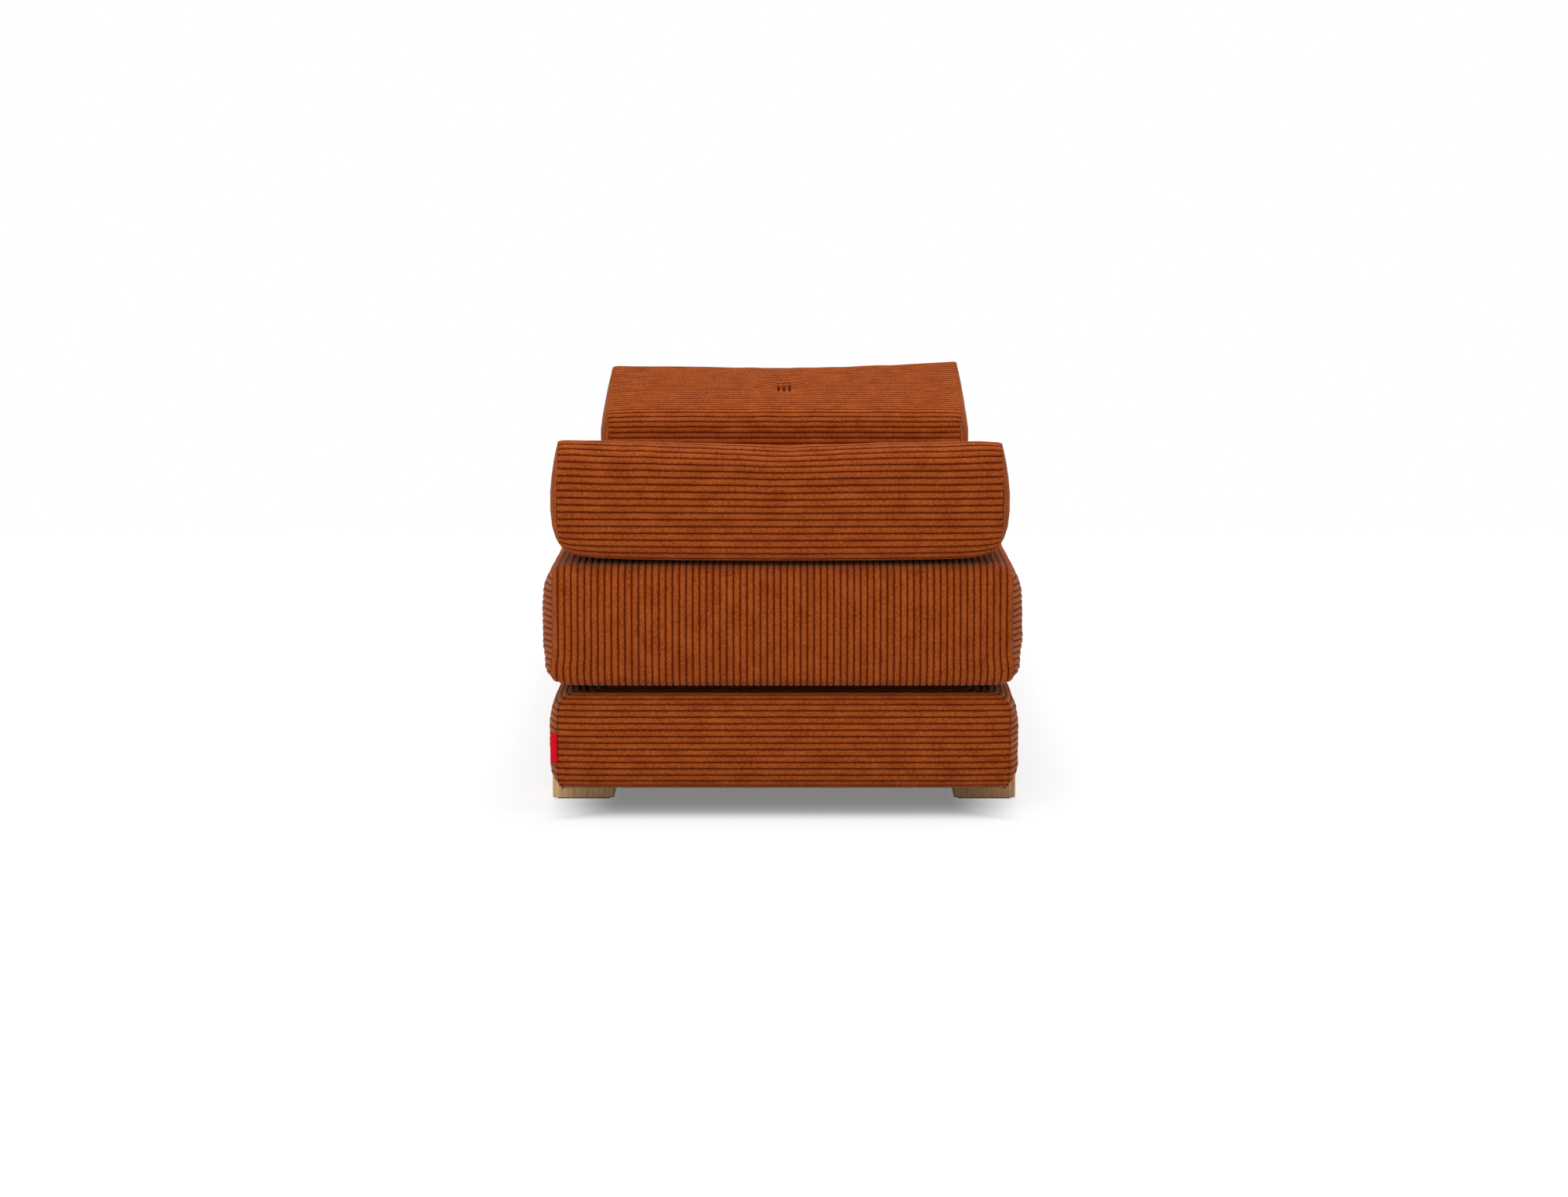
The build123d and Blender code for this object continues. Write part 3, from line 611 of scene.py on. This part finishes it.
y = np.r_[np.linspace(0, cut_y[0], 24), 795, 825, 855, cut_y[1], 910, 935, dust_half[1]]
y = np.r_[-y[:0:-1], y]
between = np.sin(pi * np.clip((np.abs(x) - centre_rail_half) / rail_gap, 0, 1)) ** 0.8
ends = ease((dust_half[1] - np.abs(y)) / 120)
sag = dust_sag * between[None] * ends[:, None] * (1 + 0.25 * ripple(x[None], y[:, None], 51))
grid = stacked(x[None], y[:, None], dust_level - sag)
numbers = np.arange(sag.size).reshape(sag.shape)
middle_x, middle_y = np.abs(x[1:] + x[:-1]) / 2, np.abs(y[1:] + y[:-1]) / 2
cut_out = (middle_x > cut_x)[None] & ((middle_y > cut_y[0]) & (middle_y < cut_y[1]))[:, None]
used, faces = np.unique(quads(numbers)[~cut_out], return_inverse=True)
dust_mesh = bpy.data.meshes.new("dust_sheet")
dust_mesh.from_pydata((grid.reshape(-1, 3)[used] * mm).tolist(), [], faces.reshape(-1, 4).tolist())
dust_sheet = show("dust_sheet", dust_mesh, spun_bonded, "base", ["dust_cover"])
dust_sheet.modifiers.new("thickness", "SOLIDIFY").thickness = dust_thickness * mm

# Seam tab: a blank strip of red satin-woven ribbon, 27 mm long and 52 mm wide, folded double
# and caught in the near left corner seam, so that it lies back against the side. The satin
# floats run across its width, about 0.5 mm apart.
red_ribbon = grained(
    "woven_satin_ribbon", "#AA0012", "#DE0820", (0.002, 0.002, 0.0005), {"Detail": 2.0},
    (0.4, 0.0003), {"Roughness": 0.6, "Specular IOR Level": 0.1},
)
tab_line = np.array(
    [(-396.6, -999.4), (-400.0, -1001.3), (-403.6, -1001.4), (-406.8, -999.6), (-409.2, -996.6)]
)
tab_low, tab_high = 88.0, 140.0
fold_gap, ribbon_half = 0.45, 0.3


def left_of(line, closed=False):
    """Unit vectors to the left of a line, at each of its points."""
    ahead = heading(line, closed)
    return np.stack([-ahead[:, 1], ahead[:, 0]], 1) / np.linalg.norm(ahead, axis=1, keepdims=True)


def beside(line, distance):
    """A line in plan, moved to its left by a distance."""
    return line + distance * left_of(line)


tip_share, curl_size, curl_length = 0.15, 0.35, 9.0
tip = tab_line[-1] + (tab_line[-1] - tab_line[-2]) * tip_share
folded = np.concatenate([beside(tab_line, fold_gap), [tip], beside(tab_line, -fold_gap)[::-1]])
outline = np.concatenate([beside(folded, ribbon_half), beside(folded, -ribbon_half)[::-1]])
x, y = outline.T[:, None]
rise = np.linspace(tab_low, tab_high, 14)[:, None]
curl = curl_size * np.sin((rise - tab_low) / curl_length) * ease((-base_half[0] - x) / 8)
tab = Sewing((*tab_line[2], (tab_low + tab_high) / 2))
tab.tube(stacked(x, y + curl, rise), rise, x)
tab = tab.piece("seam_tab_ribbon", red_ribbon, "base", "red_ribbon", ["seam_tab"])

# Mattress cover: one panel goes lengthwise over the top, down the far end, underneath and up
# the near end, and a long side panel is sewn in at each side. The sides and ends swell with
# the foam, most at mid height, and the seams lie in shallow valleys.
mattress_half = (402.0, 1000.0)
mattress_low, mattress_high = 214.6, 438.2
lower_mattress_roll, upper_mattress_roll = (26.0, 20.0), (30.0, 24.0)
underside_lift = 7.0
mattress_end_bulge, mattress_side_bulge = 15.0, 22.6
mattress_crown = 7.0
side_drop, drop_width = 11.5, 40.0
mattress_wale, side_wale = 11.66, 11.4
mattress_seam_depth = 3.2
corner_lift, top_edge_drop, side_fullness = 3.0, 3.0, 4.4
narrower_left, narrower_right, unevenness = 4.0, 1.5, 0.9
end_heights = (0, 0.02, 0.065, 0.13, 0.27, 0.43, 0.57, 0.73, 0.87, 0.935, 0.98, 1.0)
end_swell = (0.0, 0.03, 0.10, 0.34, 0.80, 1.0, 1.0, 0.80, 0.34, 0.10, 0.03, 0.0)
side_heights = (0, 0.03, 0.08, 0.14, 0.22, 0.3, 0.4, 0.6, 0.7, 0.8, 0.88, 0.94, 0.97, 1.0)
side_swell = (0.0, 0.46, 0.62, 0.71, 0.85, 0.97, 1.0, 1.0, 0.97, 0.92, 0.76, 0.52, 0.34, 0.0)
zip_half, zip_fold, zip_sink = 301.5, 6.8, 2.3
mattress_zip_face, mattress_zip_level = 1015.6, 326.3
zip_rows = np.array([-7.8, -6.4, 6.4, 7.8])


def mattress_loop():
    """The lengthwise section of the mattress, as a closed line of places along it and heights."""
    height = mattress_high - mattress_low
    s, c = quarter(9)
    (r, h), (upper_r, upper_h) = lower_mattress_roll, upper_mattress_roll
    run, top_run = mattress_half[1] - r, mattress_half[1] - upper_r
    face = np.linspace(h, height - upper_h, 15)
    face = np.sort(np.r_[face, mattress_zip_level - mattress_low + zip_rows])
    under = np.append(np.linspace(0, 860, 9), [890, 915, 940, 960])
    near = [(-y, 0) for y in under] + list(zip(-run - r * s, h - h * c))
    near += [(-run - r, z) for z in face[:-1]]
    near += zip(-top_run - upper_r * c, height - upper_h + upper_h * s)
    top = [(y, height) for y in np.linspace(-top_run, top_run, 49)]
    return np.array(near + top + [(-y, z) for y, z in near[:0:-1]])


def settle_mattress(points):
    """How the filled cover lies: a low crown between the cushions and lifted lower corners."""
    x, y, z = points[..., 0], points[..., 1], points[..., 2]
    beside, along = np.abs(x), np.abs(y)
    height = np.clip((z - mattress_low) / (mattress_high - mattress_low), 0, 1)
    clear = ease((362 - beside) / 170) * ease((600 - along) / 170)
    lump = ripple(x, y, 11) * ease((600 - along) / 100) * ease((380 - beside) / 60)
    z = z + ease((height - 0.6) / 0.4) * (mattress_crown * clear + unevenness * lump * clear)
    from_side = np.clip(mattress_half[0] - beside, 0, None)
    from_end = np.clip(mattress_half[1] - along, 0, None)
    z = z + corner_lift * (1 - height) ** 2 * dying(from_side, 42) * dying(from_end, 70)
    z = z + underside_lift * (1 - height) ** 2 * ease((along - 905) / 85)
    z = z - top_edge_drop * height**8 * ease((along - 930) / 40) * bell(x, 280)
    outmost = np.clip(beside / mattress_half[0], 0, 1) ** 6
    x = x + np.sign(x) * side_fullness * bell(height - 0.13, 0.1) * outmost
    y = y - 0.8 * ease((-y - 985) / 15) * ripple(x, z * 2, 12)
    share = x / mattress_half[0]
    return np.stack([x - narrower_left * ease(-share) - narrower_right * ease(share), y, z], -1)


loop = mattress_loop()
outward = left_of(loop, True)
facing_end, facing_flat = np.abs(outward.T)[..., None]
cloth, pile, share = wales(2 * mattress_half[0], mattress_wale)
main_x = (share * 2 - 1) * mattress_half[0]
from_seam = mattress_half[0] - np.abs(main_x)
drop = 1 - np.sqrt(1 - 0.94 * np.clip((drop_width - from_seam) / drop_width, 0, 1) ** 2)
drop = side_drop * drop / 0.755
valley = mattress_seam_depth * bell(from_seam, seam_width)
height_share = (loop[:, 1] / (mattress_high - mattress_low))[:, None]
end_out = mattress_end_bulge * np.interp(height_share, end_heights, end_swell) * facing_end
end_out = end_out * swell_from_edge(from_seam)
push = end_out - drop * facing_flat - valley
main_y = loop[:, :1] + outward[:, :1] * push
main_z = mattress_low + loop[:, 1:] + outward[:, 1:] * push
grid = stacked(main_x[None], main_y, main_z)
steps = np.linalg.norm(np.roll(loop, -1, 0) - loop, axis=1)
loop_run = np.r_[0, np.cumsum(steps)[:-1]]
mattress_cover = Sewing((0, 0, (mattress_low + mattress_high) / 2))
main_panel = mattress_cover.panel(
    settle_mattress(grid), pile[None], cloth[None], loop_run[:, None], wale_depth, (True, False)
)
window = (np.abs(grid[..., 2] - mattress_zip_level) < zip_fold) & (np.abs(grid[..., 0]) < zip_half)
mattress_cover.press(window & (grid[..., 1] > 990), 1, mattress_zip_face - zip_sink)
seam_line = grid[:, -1, 1:]
seam_low, seam_high = seam_line[:, 1].min() + 0.5, seam_line[:, 1].max() - 0.5
near_half = seam_line[seam_line[:, 0] < -900]
near_half = near_half[np.argsort(near_half[:, 1])]
cloth, pile, share = wales(seam_high - seam_low, side_wale)
side_z = seam_low + share * (seam_high - seam_low)
reach = -np.interp(side_z, near_half[:, 1], near_half[:, 0]) - 1.0
ends = np.array([0, 1.2, 3, 6, 11, 18, 28, 42, 60, 80, 105])
side_run = np.r_[ends / 1000, np.linspace(0.13, 1.87, 40), 2 - ends[::-1] / 1000] - 1
side_y = side_run[None] * reach[:, None]
side_out = mattress_side_bulge * np.interp(share[:, None], side_heights, side_swell)
side_out = side_out * swell_from_edge(np.clip(reach[:, None] - np.abs(side_y), 0, None))
for side in (-1, 1):
    lumps = unevenness * ripple(side_y, side_z[:, None] * 2, 14 + side) * side_out / mattress_side_bulge
    side_x = side * (mattress_half[0] - 1.2 + side_out + lumps)
    grid = stacked(side_x, side_y, side_z[:, None])
    side_panel = mattress_cover.panel(
        settle_mattress(grid), pile[:, None], cloth[:, None], side_y, wale_depth
    )
    mattress_cover.stitch(main_panel[:, -1 if side > 0 else 0], side_panel)
mattress_cover.piece(
    "mattress_cover_corduroy", corduroy, "mattress", "orange_corduroy", ["mattress_cover"], fill=0.85
)

# Mattress foam: a firm high-resilience core between two 45 mm layers of softer foam, glued
# together and a little smaller than the cover, so that the cover stays smooth round it.
foam_half, foam_bulge = (390.0, 988.0), (20.0, 12.5)
for layer, slot, levels in (
    ("lower", "soft_foam",
     [(220, 40, 0), (222, 28, 0.03), (227, 15, 0.1), (235, 5, 0.3), (246, 0, 0.5), (262.3, 0, 0.7)]),
    ("core", "firm_foam",
     [(262.9, 0, 0.7), (285, 0, 0.86), (310, 0, 1), (345, 0, 1), (367, 0, 0.86), (389.6, 0, 0.6)]),
    ("upper", "soft_foam",
     [(390.2, 0, 0.6), (404, 0, 0.4), (413, 5, 0.3), (422, 15, 0.1), (428, 28, 0.03), (431, 44, 0)]),
):
    node = f"mattress_{layer}_foam"
    foam_block(node + "_block", "mattress", slot, node, foam_half, foam_bulge, levels, settle_mattress, 0.85)

# Zips: each is 600 mm of woven polyester tape in the cover's colour, with a nylon coil sewn
# along it. The coil is 4.4 mm wide with a turn about every 2 mm, and an enamelled slider runs
# on it with a looped wire pull. The mattress has its zip across the far end.

# Woven polyester: close plain weave, threads 0.6 mm apart that cross, drawn by two fine waves.
tape_weave, tree, where = solid_material("woven_polyester_tape")
weft, warp = (
    add(tree, "TexWave", {"Vector": where, "Scale": 1 / 0.0012, "Distortion": 0.4}, bands_direction=along)
    for along in "XZ"
)
weave = add(tree, "Math", {0: weft.outputs["Fac"], 1: warp.outputs["Fac"]}, operation="MULTIPLY")
look = {"Roughness": 0.85, "Specular IOR Level": 0.1}
two_toned(tree, weave, ("#6A2A0E", "#96431A"), look, (weave, 0.4, 0.0003))

# Drawn nylon: a smooth, slightly waxy monofilament, a little lighter where it was bent.
nylon = grained(
    "drawn_nylon_coil", "#86380F", "#A8521F", [0.002] * 3, {"Detail": 2.0}, (),
    {"Roughness": 0.6, "IOR": 1.53, "Specular IOR Level": 0.25},
)

# Enamelled zinc: baked brown enamel over a die casting, satin, worn thin in small specks.
enamel, tree, where = solid_material("enamelled_die_cast_zinc")
specks = add(tree, "TexNoise", {"Vector": where, "Scale": 1 / 0.0015, "Detail": 3.0})
worn = add(tree, "MapRange", {"Value": specks, "From Min": 0.6, "From Max": 0.75})
two_toned(tree, worn, ("#5B2A17", "#7A4128"), {"Roughness": 0.32})
zip_length, coil_half, coil_height, coil_pitch, coil_radius = 600.0, 2.2, 1.1, 2.0, 0.36
tape_section = np.array(
    [(-5.9, -1.8), (-5.9, -1.3), (-5.2, -1.0), (-2.6, -1.1), (-1.6, -0.8), (1.6, -0.8), (2.6, -1.1),
     (5.2, -1.0), (5.9, -1.3), (5.9, -1.8)]
)
shield_outline = np.array(
    [(0, -2.6), (1.2, -3.8), (4.2, -4.0), (6.4, -3.2), (9, -2.8), (9, -1.4), (9, 1.4), (9, 2.8), (6.4, 3.2),
     (4.2, 4.0), (1.2, 3.8), (0, 2.6)]
)
shield_rows = ((0.75, 0.9125), (1.1, 1.0), (1.6, 1.0), (1.95, 0.9125))
loop_place, arch_half, arch_rise, arch_radius = 4.5, 3.2, 1.6, 0.55
pull_half_height, pull_half_width, pull_radius = 11.3, 1.9, 0.62


def wire(sewing, path, radius, across, sides=6, closed=False):
    """Adds a round wire along a path; across is a direction that the path never runs along."""
    ahead = heading(path, closed)
    ahead /= np.linalg.norm(ahead, axis=1, keepdims=True)
    one = np.cross(ahead, across)
    one /= np.linalg.norm(one, axis=1, keepdims=True)
    other = np.cross(ahead, one)
    turn = np.linspace(0, 2 * pi, sides, endpoint=False)[None, :, None]
    grid = path[:, None] + radius * (np.cos(turn) * one[:, None] + np.sin(turn) * other[:, None])
    sewing.tube(grid, np.arange(len(path))[:, None], turn[..., 0], closed)


def make_zip(body, face, outward, level):
    """The tape, coil, slider and pull of a zip that lies in a cover's upright face."""
    def place(along, out, up):
        return stacked(along, face + outward * np.asarray(out), level + np.asarray(up))

    middle = place(0, 0, 0)
    start = -zip_length / 2
    tape = Sewing(middle)
    run = np.linspace(start, -start, 41)[:, None]
    up, out = tape_section.T[:, None]
    tape.tube(place(run, out, up), run, up)
    tape.piece(body + "_zip_tape", tape_weave, body, "zip_tape", [body + "_zip"])
    coil = Sewing(middle)
    bend = np.linspace(0, pi, 7)
    for along in np.arange(start + 8, -start - 7, coil_pitch):
        turn = place(along + 0.5 * np.cos(bend), -0.95 + coil_height * np.sin(bend), coil_half * np.cos(bend))
        wire(coil, turn, coil_radius, (1, 0, 0), 5)
    coil.piece(body + "_zip_coil", nylon, body, "zip_tape", [])
    slider = Sewing(middle)
    centre = shield_outline.mean(0)
    rings = [(out, centre + (shield_outline - centre) * share) for out, share in shield_rows]
    slider.tube(np.stack([place(start + ring[:, 0], out, ring[:, 1]) for out, ring in rings]), 0.0, 0.0)
    arch = np.linspace(0, pi, 9)
    arch = place(start + loop_place + arch_half * np.cos(arch), 1.7 + arch_rise * np.sin(arch), 0 * arch)
    wire(slider, arch, arch_radius, (0, 0, 1), 8)
    turn = np.linspace(0, 2 * pi, 28, endpoint=False)
    up = 0.9 - pull_half_height + np.sign(np.cos(turn)) * (pull_half_height - pull_half_width)
    up = up + pull_half_width * np.cos(turn)
    pull = place(start + loop_place + pull_half_width * np.sin(turn), 2.45 - 0.9 * ease(-up / 12), up)
    wire(slider, pull, pull_radius, (0, 1, 0), 8, True)
    slider.piece(body + "_zip_slider", enamel, body + "_zip_puller", "zip_metal", [body + "_zip_puller"])


make_zip("mattress", mattress_zip_face, 1, mattress_zip_level)

# End cushion covers: a long panel goes round each wedge with its wales across the bed, and a
# panel with upright wales closes each end. The bottom edges turn up towards the ends, and one
# sewn tuft draws the sloping top down in three short pleats, whose partings are drawn in the
# dark ground colour as painted shade.
cushion_half, cushion_depth = 390.5, 350.0
half_depth = cushion_depth / 2
outer_height, inner_height = 218.0, 126.0
cushion_inner_y, cushion_floor = 650.0, 438.9
corner_radii = (34.0, 36.0, 46.0, 24.0)
cushion_wale, cushion_zip_level = 11.9, 490.6
core_inset, core_step, end_bulge, end_run, end_gap = 9.5, 40.0, 17.0, 87.5, 0.6
seam_valleys, seam_reaches = (3.0, 1.0), (4.0, 25.0)
cushion_spread = np.array(
    [0, 1.2, 2.8, 5, 8, 13, 20, 30, 44, 62, 78, 88.3, 89.7, 112, 145, 180, 215, 250, 285, 318, 345, 362]
)
tuft_spread = np.array(
    [-26, -20, -17.5, -15.8, -14.6, -13.5, -12.5, -11.5, -10.4, -9.2, -7.4, -5.4, -3.6, -2.4, -1.2, 0.0]
)
pleat_places, pleat_width, pleat_depth, pleat_shade_width = (-12.5, 0.0, 12.5), 1.8, 8.5, 1.3
swollen_crown, swollen_outer, foot_pinch = 9.0, 8.0, 9.0
worn_edge, hollow_foot, gathered = (6.0, 5.0), 5.0, 9.0
cushions = {
    "near_cushion": dict(
        end=-1, left=396.0, right=382.0, narrow=2.0, sag=6.0, lift=(6.0, 3.2), pinch=5.0, seed=21
    ),
    "far_cushion": dict(
        end=1, left=392.5, right=395.0, narrow=8.0, sag=1.0, lift=(4.0, 17.0), pinch=0.0, seed=31
    ),
}


def wedge_line(taken, places):
    """Points of the wedge's section, taken in on every side. A place counts the runs from the
    middle of the bottom, where straight runs and rounded corners take turns."""
    high, low = cushion_depth - taken, taken
    corners = np.array([(high, low), (high, outer_height - taken), (low, inner_height - taken), (low, low)])
    runs, start = [], np.array([half_depth, taken])
    for k, radius in enumerate(corner_radii):
        back, ahead = corners[k - 1] - corners[k], corners[(k + 1) % 4] - corners[k]
        back, ahead = back / np.linalg.norm(back), ahead / np.linalg.norm(ahead)
        half = np.arccos(back @ ahead) / 2
        entry, leave = (corners[k] + side * radius / np.tan(half) for side in (back, ahead))
        runs += [(start, (start + entry) / 2, entry, 1.0), (entry, corners[k], leave, np.sin(half))]
        start = leave
    runs.append((start, (start + runs[0][0]) / 2, runs[0][0], 1.0))
    made = []
    for place in places:
        a, apex, b, weight = runs[int(place)]
        f = place % 1
        p, q, r = (1 - f) ** 2, 2 * f * (1 - f) * weight, f * f
        made.append((a * p + apex * q + b * r) / (p + q + r))
    return np.array(made)


def settle_cushion(x, u, v, traits):
    """How a filled wedge lies: its crown and swollen faces, the tuft, and its own unevenness."""
    roof = inner_height + (outer_height - inner_height) * u / cushion_depth
    height = np.clip(v / roof, 0, 1)
    upper = ease((height - 0.2) / 0.7)
    across = (u - half_depth) / half_depth
    beside, from_middle = np.abs(x), u - half_depth
    from_tuft = np.hypot(x, from_middle)
    face = 1 - (2 * height - 1) ** 2
    outer = ease((across + 0.1) / 1.1)
    crown = swollen_crown * (1 - np.clip(across, -1, 1) ** 2) * (1 - 0.5 * (beside / cushion_half) ** 6)
    tuft = 4.0 * bell(from_tuft, 60) + 9.0 * bell(from_tuft, 30)
    pleat = sum(bell(x - place, pleat_width) for place in pleat_places)
    pleat = pleat_depth * pleat * ease((31 - np.abs(from_middle)) / 15)
    gather = gathered * bell(x, 52) * bell(from_middle - 20, 19) * upper
    sag = traits["sag"] * np.exp(-((beside / 170) ** 1.3)) * outer
    left_lift, right_lift = traits["lift"]
    end_lift = left_lift * dying(cushion_half + x, 120) + right_lift * dying(cushion_half - x, 120)
    lump = 0.7 * ripple(x, u, traits["seed"]) + end_lift * outer
    from_end = np.clip(cushion_half - beside, 0, None)
    raised = (15.0 * dying(from_end, 16) + 8.0 * dying(from_end, 60)) * np.clip(1 - v / 75, 0, 1) ** 2
    worn = bell(x, 210) * bell(np.hypot(cushion_depth - u, roof - v), 42)
    worn_down, worn_in = worn_edge
    hollow = hollow_foot * np.clip(1 - v / 8, 0, 1) * ease((u - 240) / 60)
    slide = 3.5 * bell(v - 165, 40) - 3.0 * np.clip(1 - v / 90, 0, 1) ** 1.5
    slide = slide * bell(x, 280) * ease((u - 290) / 60)
    v = v + upper * (crown - tuft - pleat - sag + lump) + raised + hollow - worn_down * worn + slide
    swollen = swollen_outer + 0.7 * ripple(x, v, traits["seed"] + 1)
    u = u + face * outer * swollen - worn_in * worn - gather
    pinch = traits["pinch"] * np.abs(across) ** 6 * np.abs(2 * height - 1) ** 6
    pinch = pinch + foot_pinch * np.clip(1 - height / 0.35, 0, 1) ** 2 * outer
    pinch = pinch + traits["narrow"] * np.abs(across) ** 8
    longer = np.where(x < 0, traits["left"], traits["right"]) - cushion_half
    longer = longer * ease((beside - cushion_half + end_run) / end_run)
    x = x + np.sign(x) * (longer - pinch * beside / cushion_half)
    return np.stack([x, traits["end"] * (cushion_inner_y + u), cushion_floor + v], -1)


def make_wedge(body, name, material, inset, wale, depth, slot, replaced):
    """A wedge, covered in wales or plain, taken in from the cover's surface by inset."""
    traits = cushions[body]
    x = np.r_[cushion_spread - cushion_half, tuft_spread]
    x = np.r_[x, -x[-2::-1]]
    valley = sum(deep * dying(cushion_half - np.abs(x), far) for deep, far in zip(seam_valleys, seam_reaches))
    x = x * (cushion_half - inset) / cushion_half
    dense = np.concatenate([part + np.linspace(0, 0.999999, 24) for part in range(9)])
    cloth, pile, (*_, places) = wales_along(np.c_[wedge_line(0.0, dense), dense], wale)
    plain = wedge_line(inset, places[:-1])
    section = plain[:, None] + left_of(plain, True)[:, None] * valley[None, :, None]
    # Painted shade: the pile is lowered along the pleats' partings, so they take the dark ground colour.
    pleat_painted_shade = sum(bell(x - place, pleat_shade_width) for place in pleat_places) * (section[..., 1] > inner_height)
    pleat_painted_shade = pleat_painted_shade * ease((25 - np.abs(section[..., 0] - half_depth)) / 4)
    sewing = Sewing((0, traits["end"] * (cushion_inner_y + half_depth), cushion_floor + 80))
    main = sewing.panel(
        settle_cushion(x[None] + 0 * section[..., 0], section[..., 0], section[..., 1], traits),
        pile[:-1, None] * (1 - pleat_painted_shade), cloth[:-1, None], x[None], depth, (True, False),
    )
    if depth:
        inner = traits["end"] * cushion_inner_y
        place = np.abs(sewing.points[-1] - (0, inner, cushion_zip_level))
        sewing.press((place < (zip_half, 6, zip_fold)).all(1), 1, inner + traits["end"] * zip_sink)
    f = np.linspace(0, 1, 14)
    around = (np.r_[7 + f, 8.5, 0.5, 1 + f], np.r_[6 - f, 4.75, 4.5, 4.25, 4 - f])
    lower, upper = (wedge_line(inset + sum(seam_valleys), part) for part in around)
    first, last = lower[0, 0] + end_gap, lower[-1, 0] - end_gap
    cloth, pile, share = wales(last - first, wale)
    u = first + share * (last - first)
    foot_line = np.interp(u, *lower.T) + end_gap
    roof_line = np.interp(u, *upper.T) - end_gap
    rise = np.array([0, 0.012, 0.035, 0.08, 0.16, 0.28, 0.42, 0.58, 0.72, 0.84, 0.92, 0.965, 0.988, 1])
    v = foot_line + (roof_line - foot_line) * rise[:, None]
    swell = (1 - np.abs(share * 2 - 1) ** 4) ** 0.6 * (np.sin(pi * rise) ** 0.9)[:, None]
    for side in (-1, 1):
        out = side * (cushion_half - inset - 0.8 + end_bulge * swell)
        end_panel = sewing.panel(
            settle_cushion(out, u[None] + 0 * v, v, traits), pile[None], cloth[None], v, depth
        )
        sewing.stitch(main[:, -1 if side > 0 else 0], end_panel)
    sewing.piece(body + name, material, body, slot, [body + replaced], 0.75)


for body, traits in cushions.items():
    make_wedge(body, "_corduroy", corduroy, 0.0, cushion_wale, wale_depth, "orange_corduroy", "_cover")
    make_wedge(body, "_foam_core", foams["firm_foam"], core_inset, core_step, 0.0, "firm_foam", "_core")
    make_zip(body, traits["end"] * cushion_inner_y, -traits["end"], cushion_zip_level)

# Tufts: two strands of waxed twine, twisted, go from a moulded disc under each cushion's foam
# up through it, and draw the cover down. Waxed thread shines a little along its strands.
waxed_twine = grained(
    "waxed_tufting_twine", "#5C240D", "#8E451F", [0.0005] * 3, {"Detail": 2.0},
    (0.4, 0.0002), {"Roughness": 0.5},
)

# Moulded plastic: black polypropylene with the fine even grain of a spark-eroded mould.
moulded = grained(
    "moulded_polypropylene", "#191715", "#272421", [0.0006] * 3, {"Detail": 2.0},
    (0.3, 0.0001), {"Roughness": 0.5},
)
twine_low, twine_high, twine_turn, twine_step = 445.2, 586.0, 9.0, 1.1
strand_radius, strand_offset = 0.6, 0.62
for body, traits in cushions.items():
    middle = traits["end"] * (cushion_inner_y + half_depth)
    twine = Sewing((0, middle, (twine_low + twine_high) / 2))
    rise = np.arange(twine_low, twine_high, twine_step)
    for phase in (0, pi):
        turn = 2 * pi * rise / twine_turn + phase
        path = stacked(strand_offset * np.cos(turn), middle + strand_offset * np.sin(turn), rise)
        wire(twine, path, strand_radius, (1, 0, 0))
    twine.piece(body + "_twine", waxed_twine, body, "twine", [body + "_tuft_twine"])
    dress([body + "_tuft_disc"], moulded)
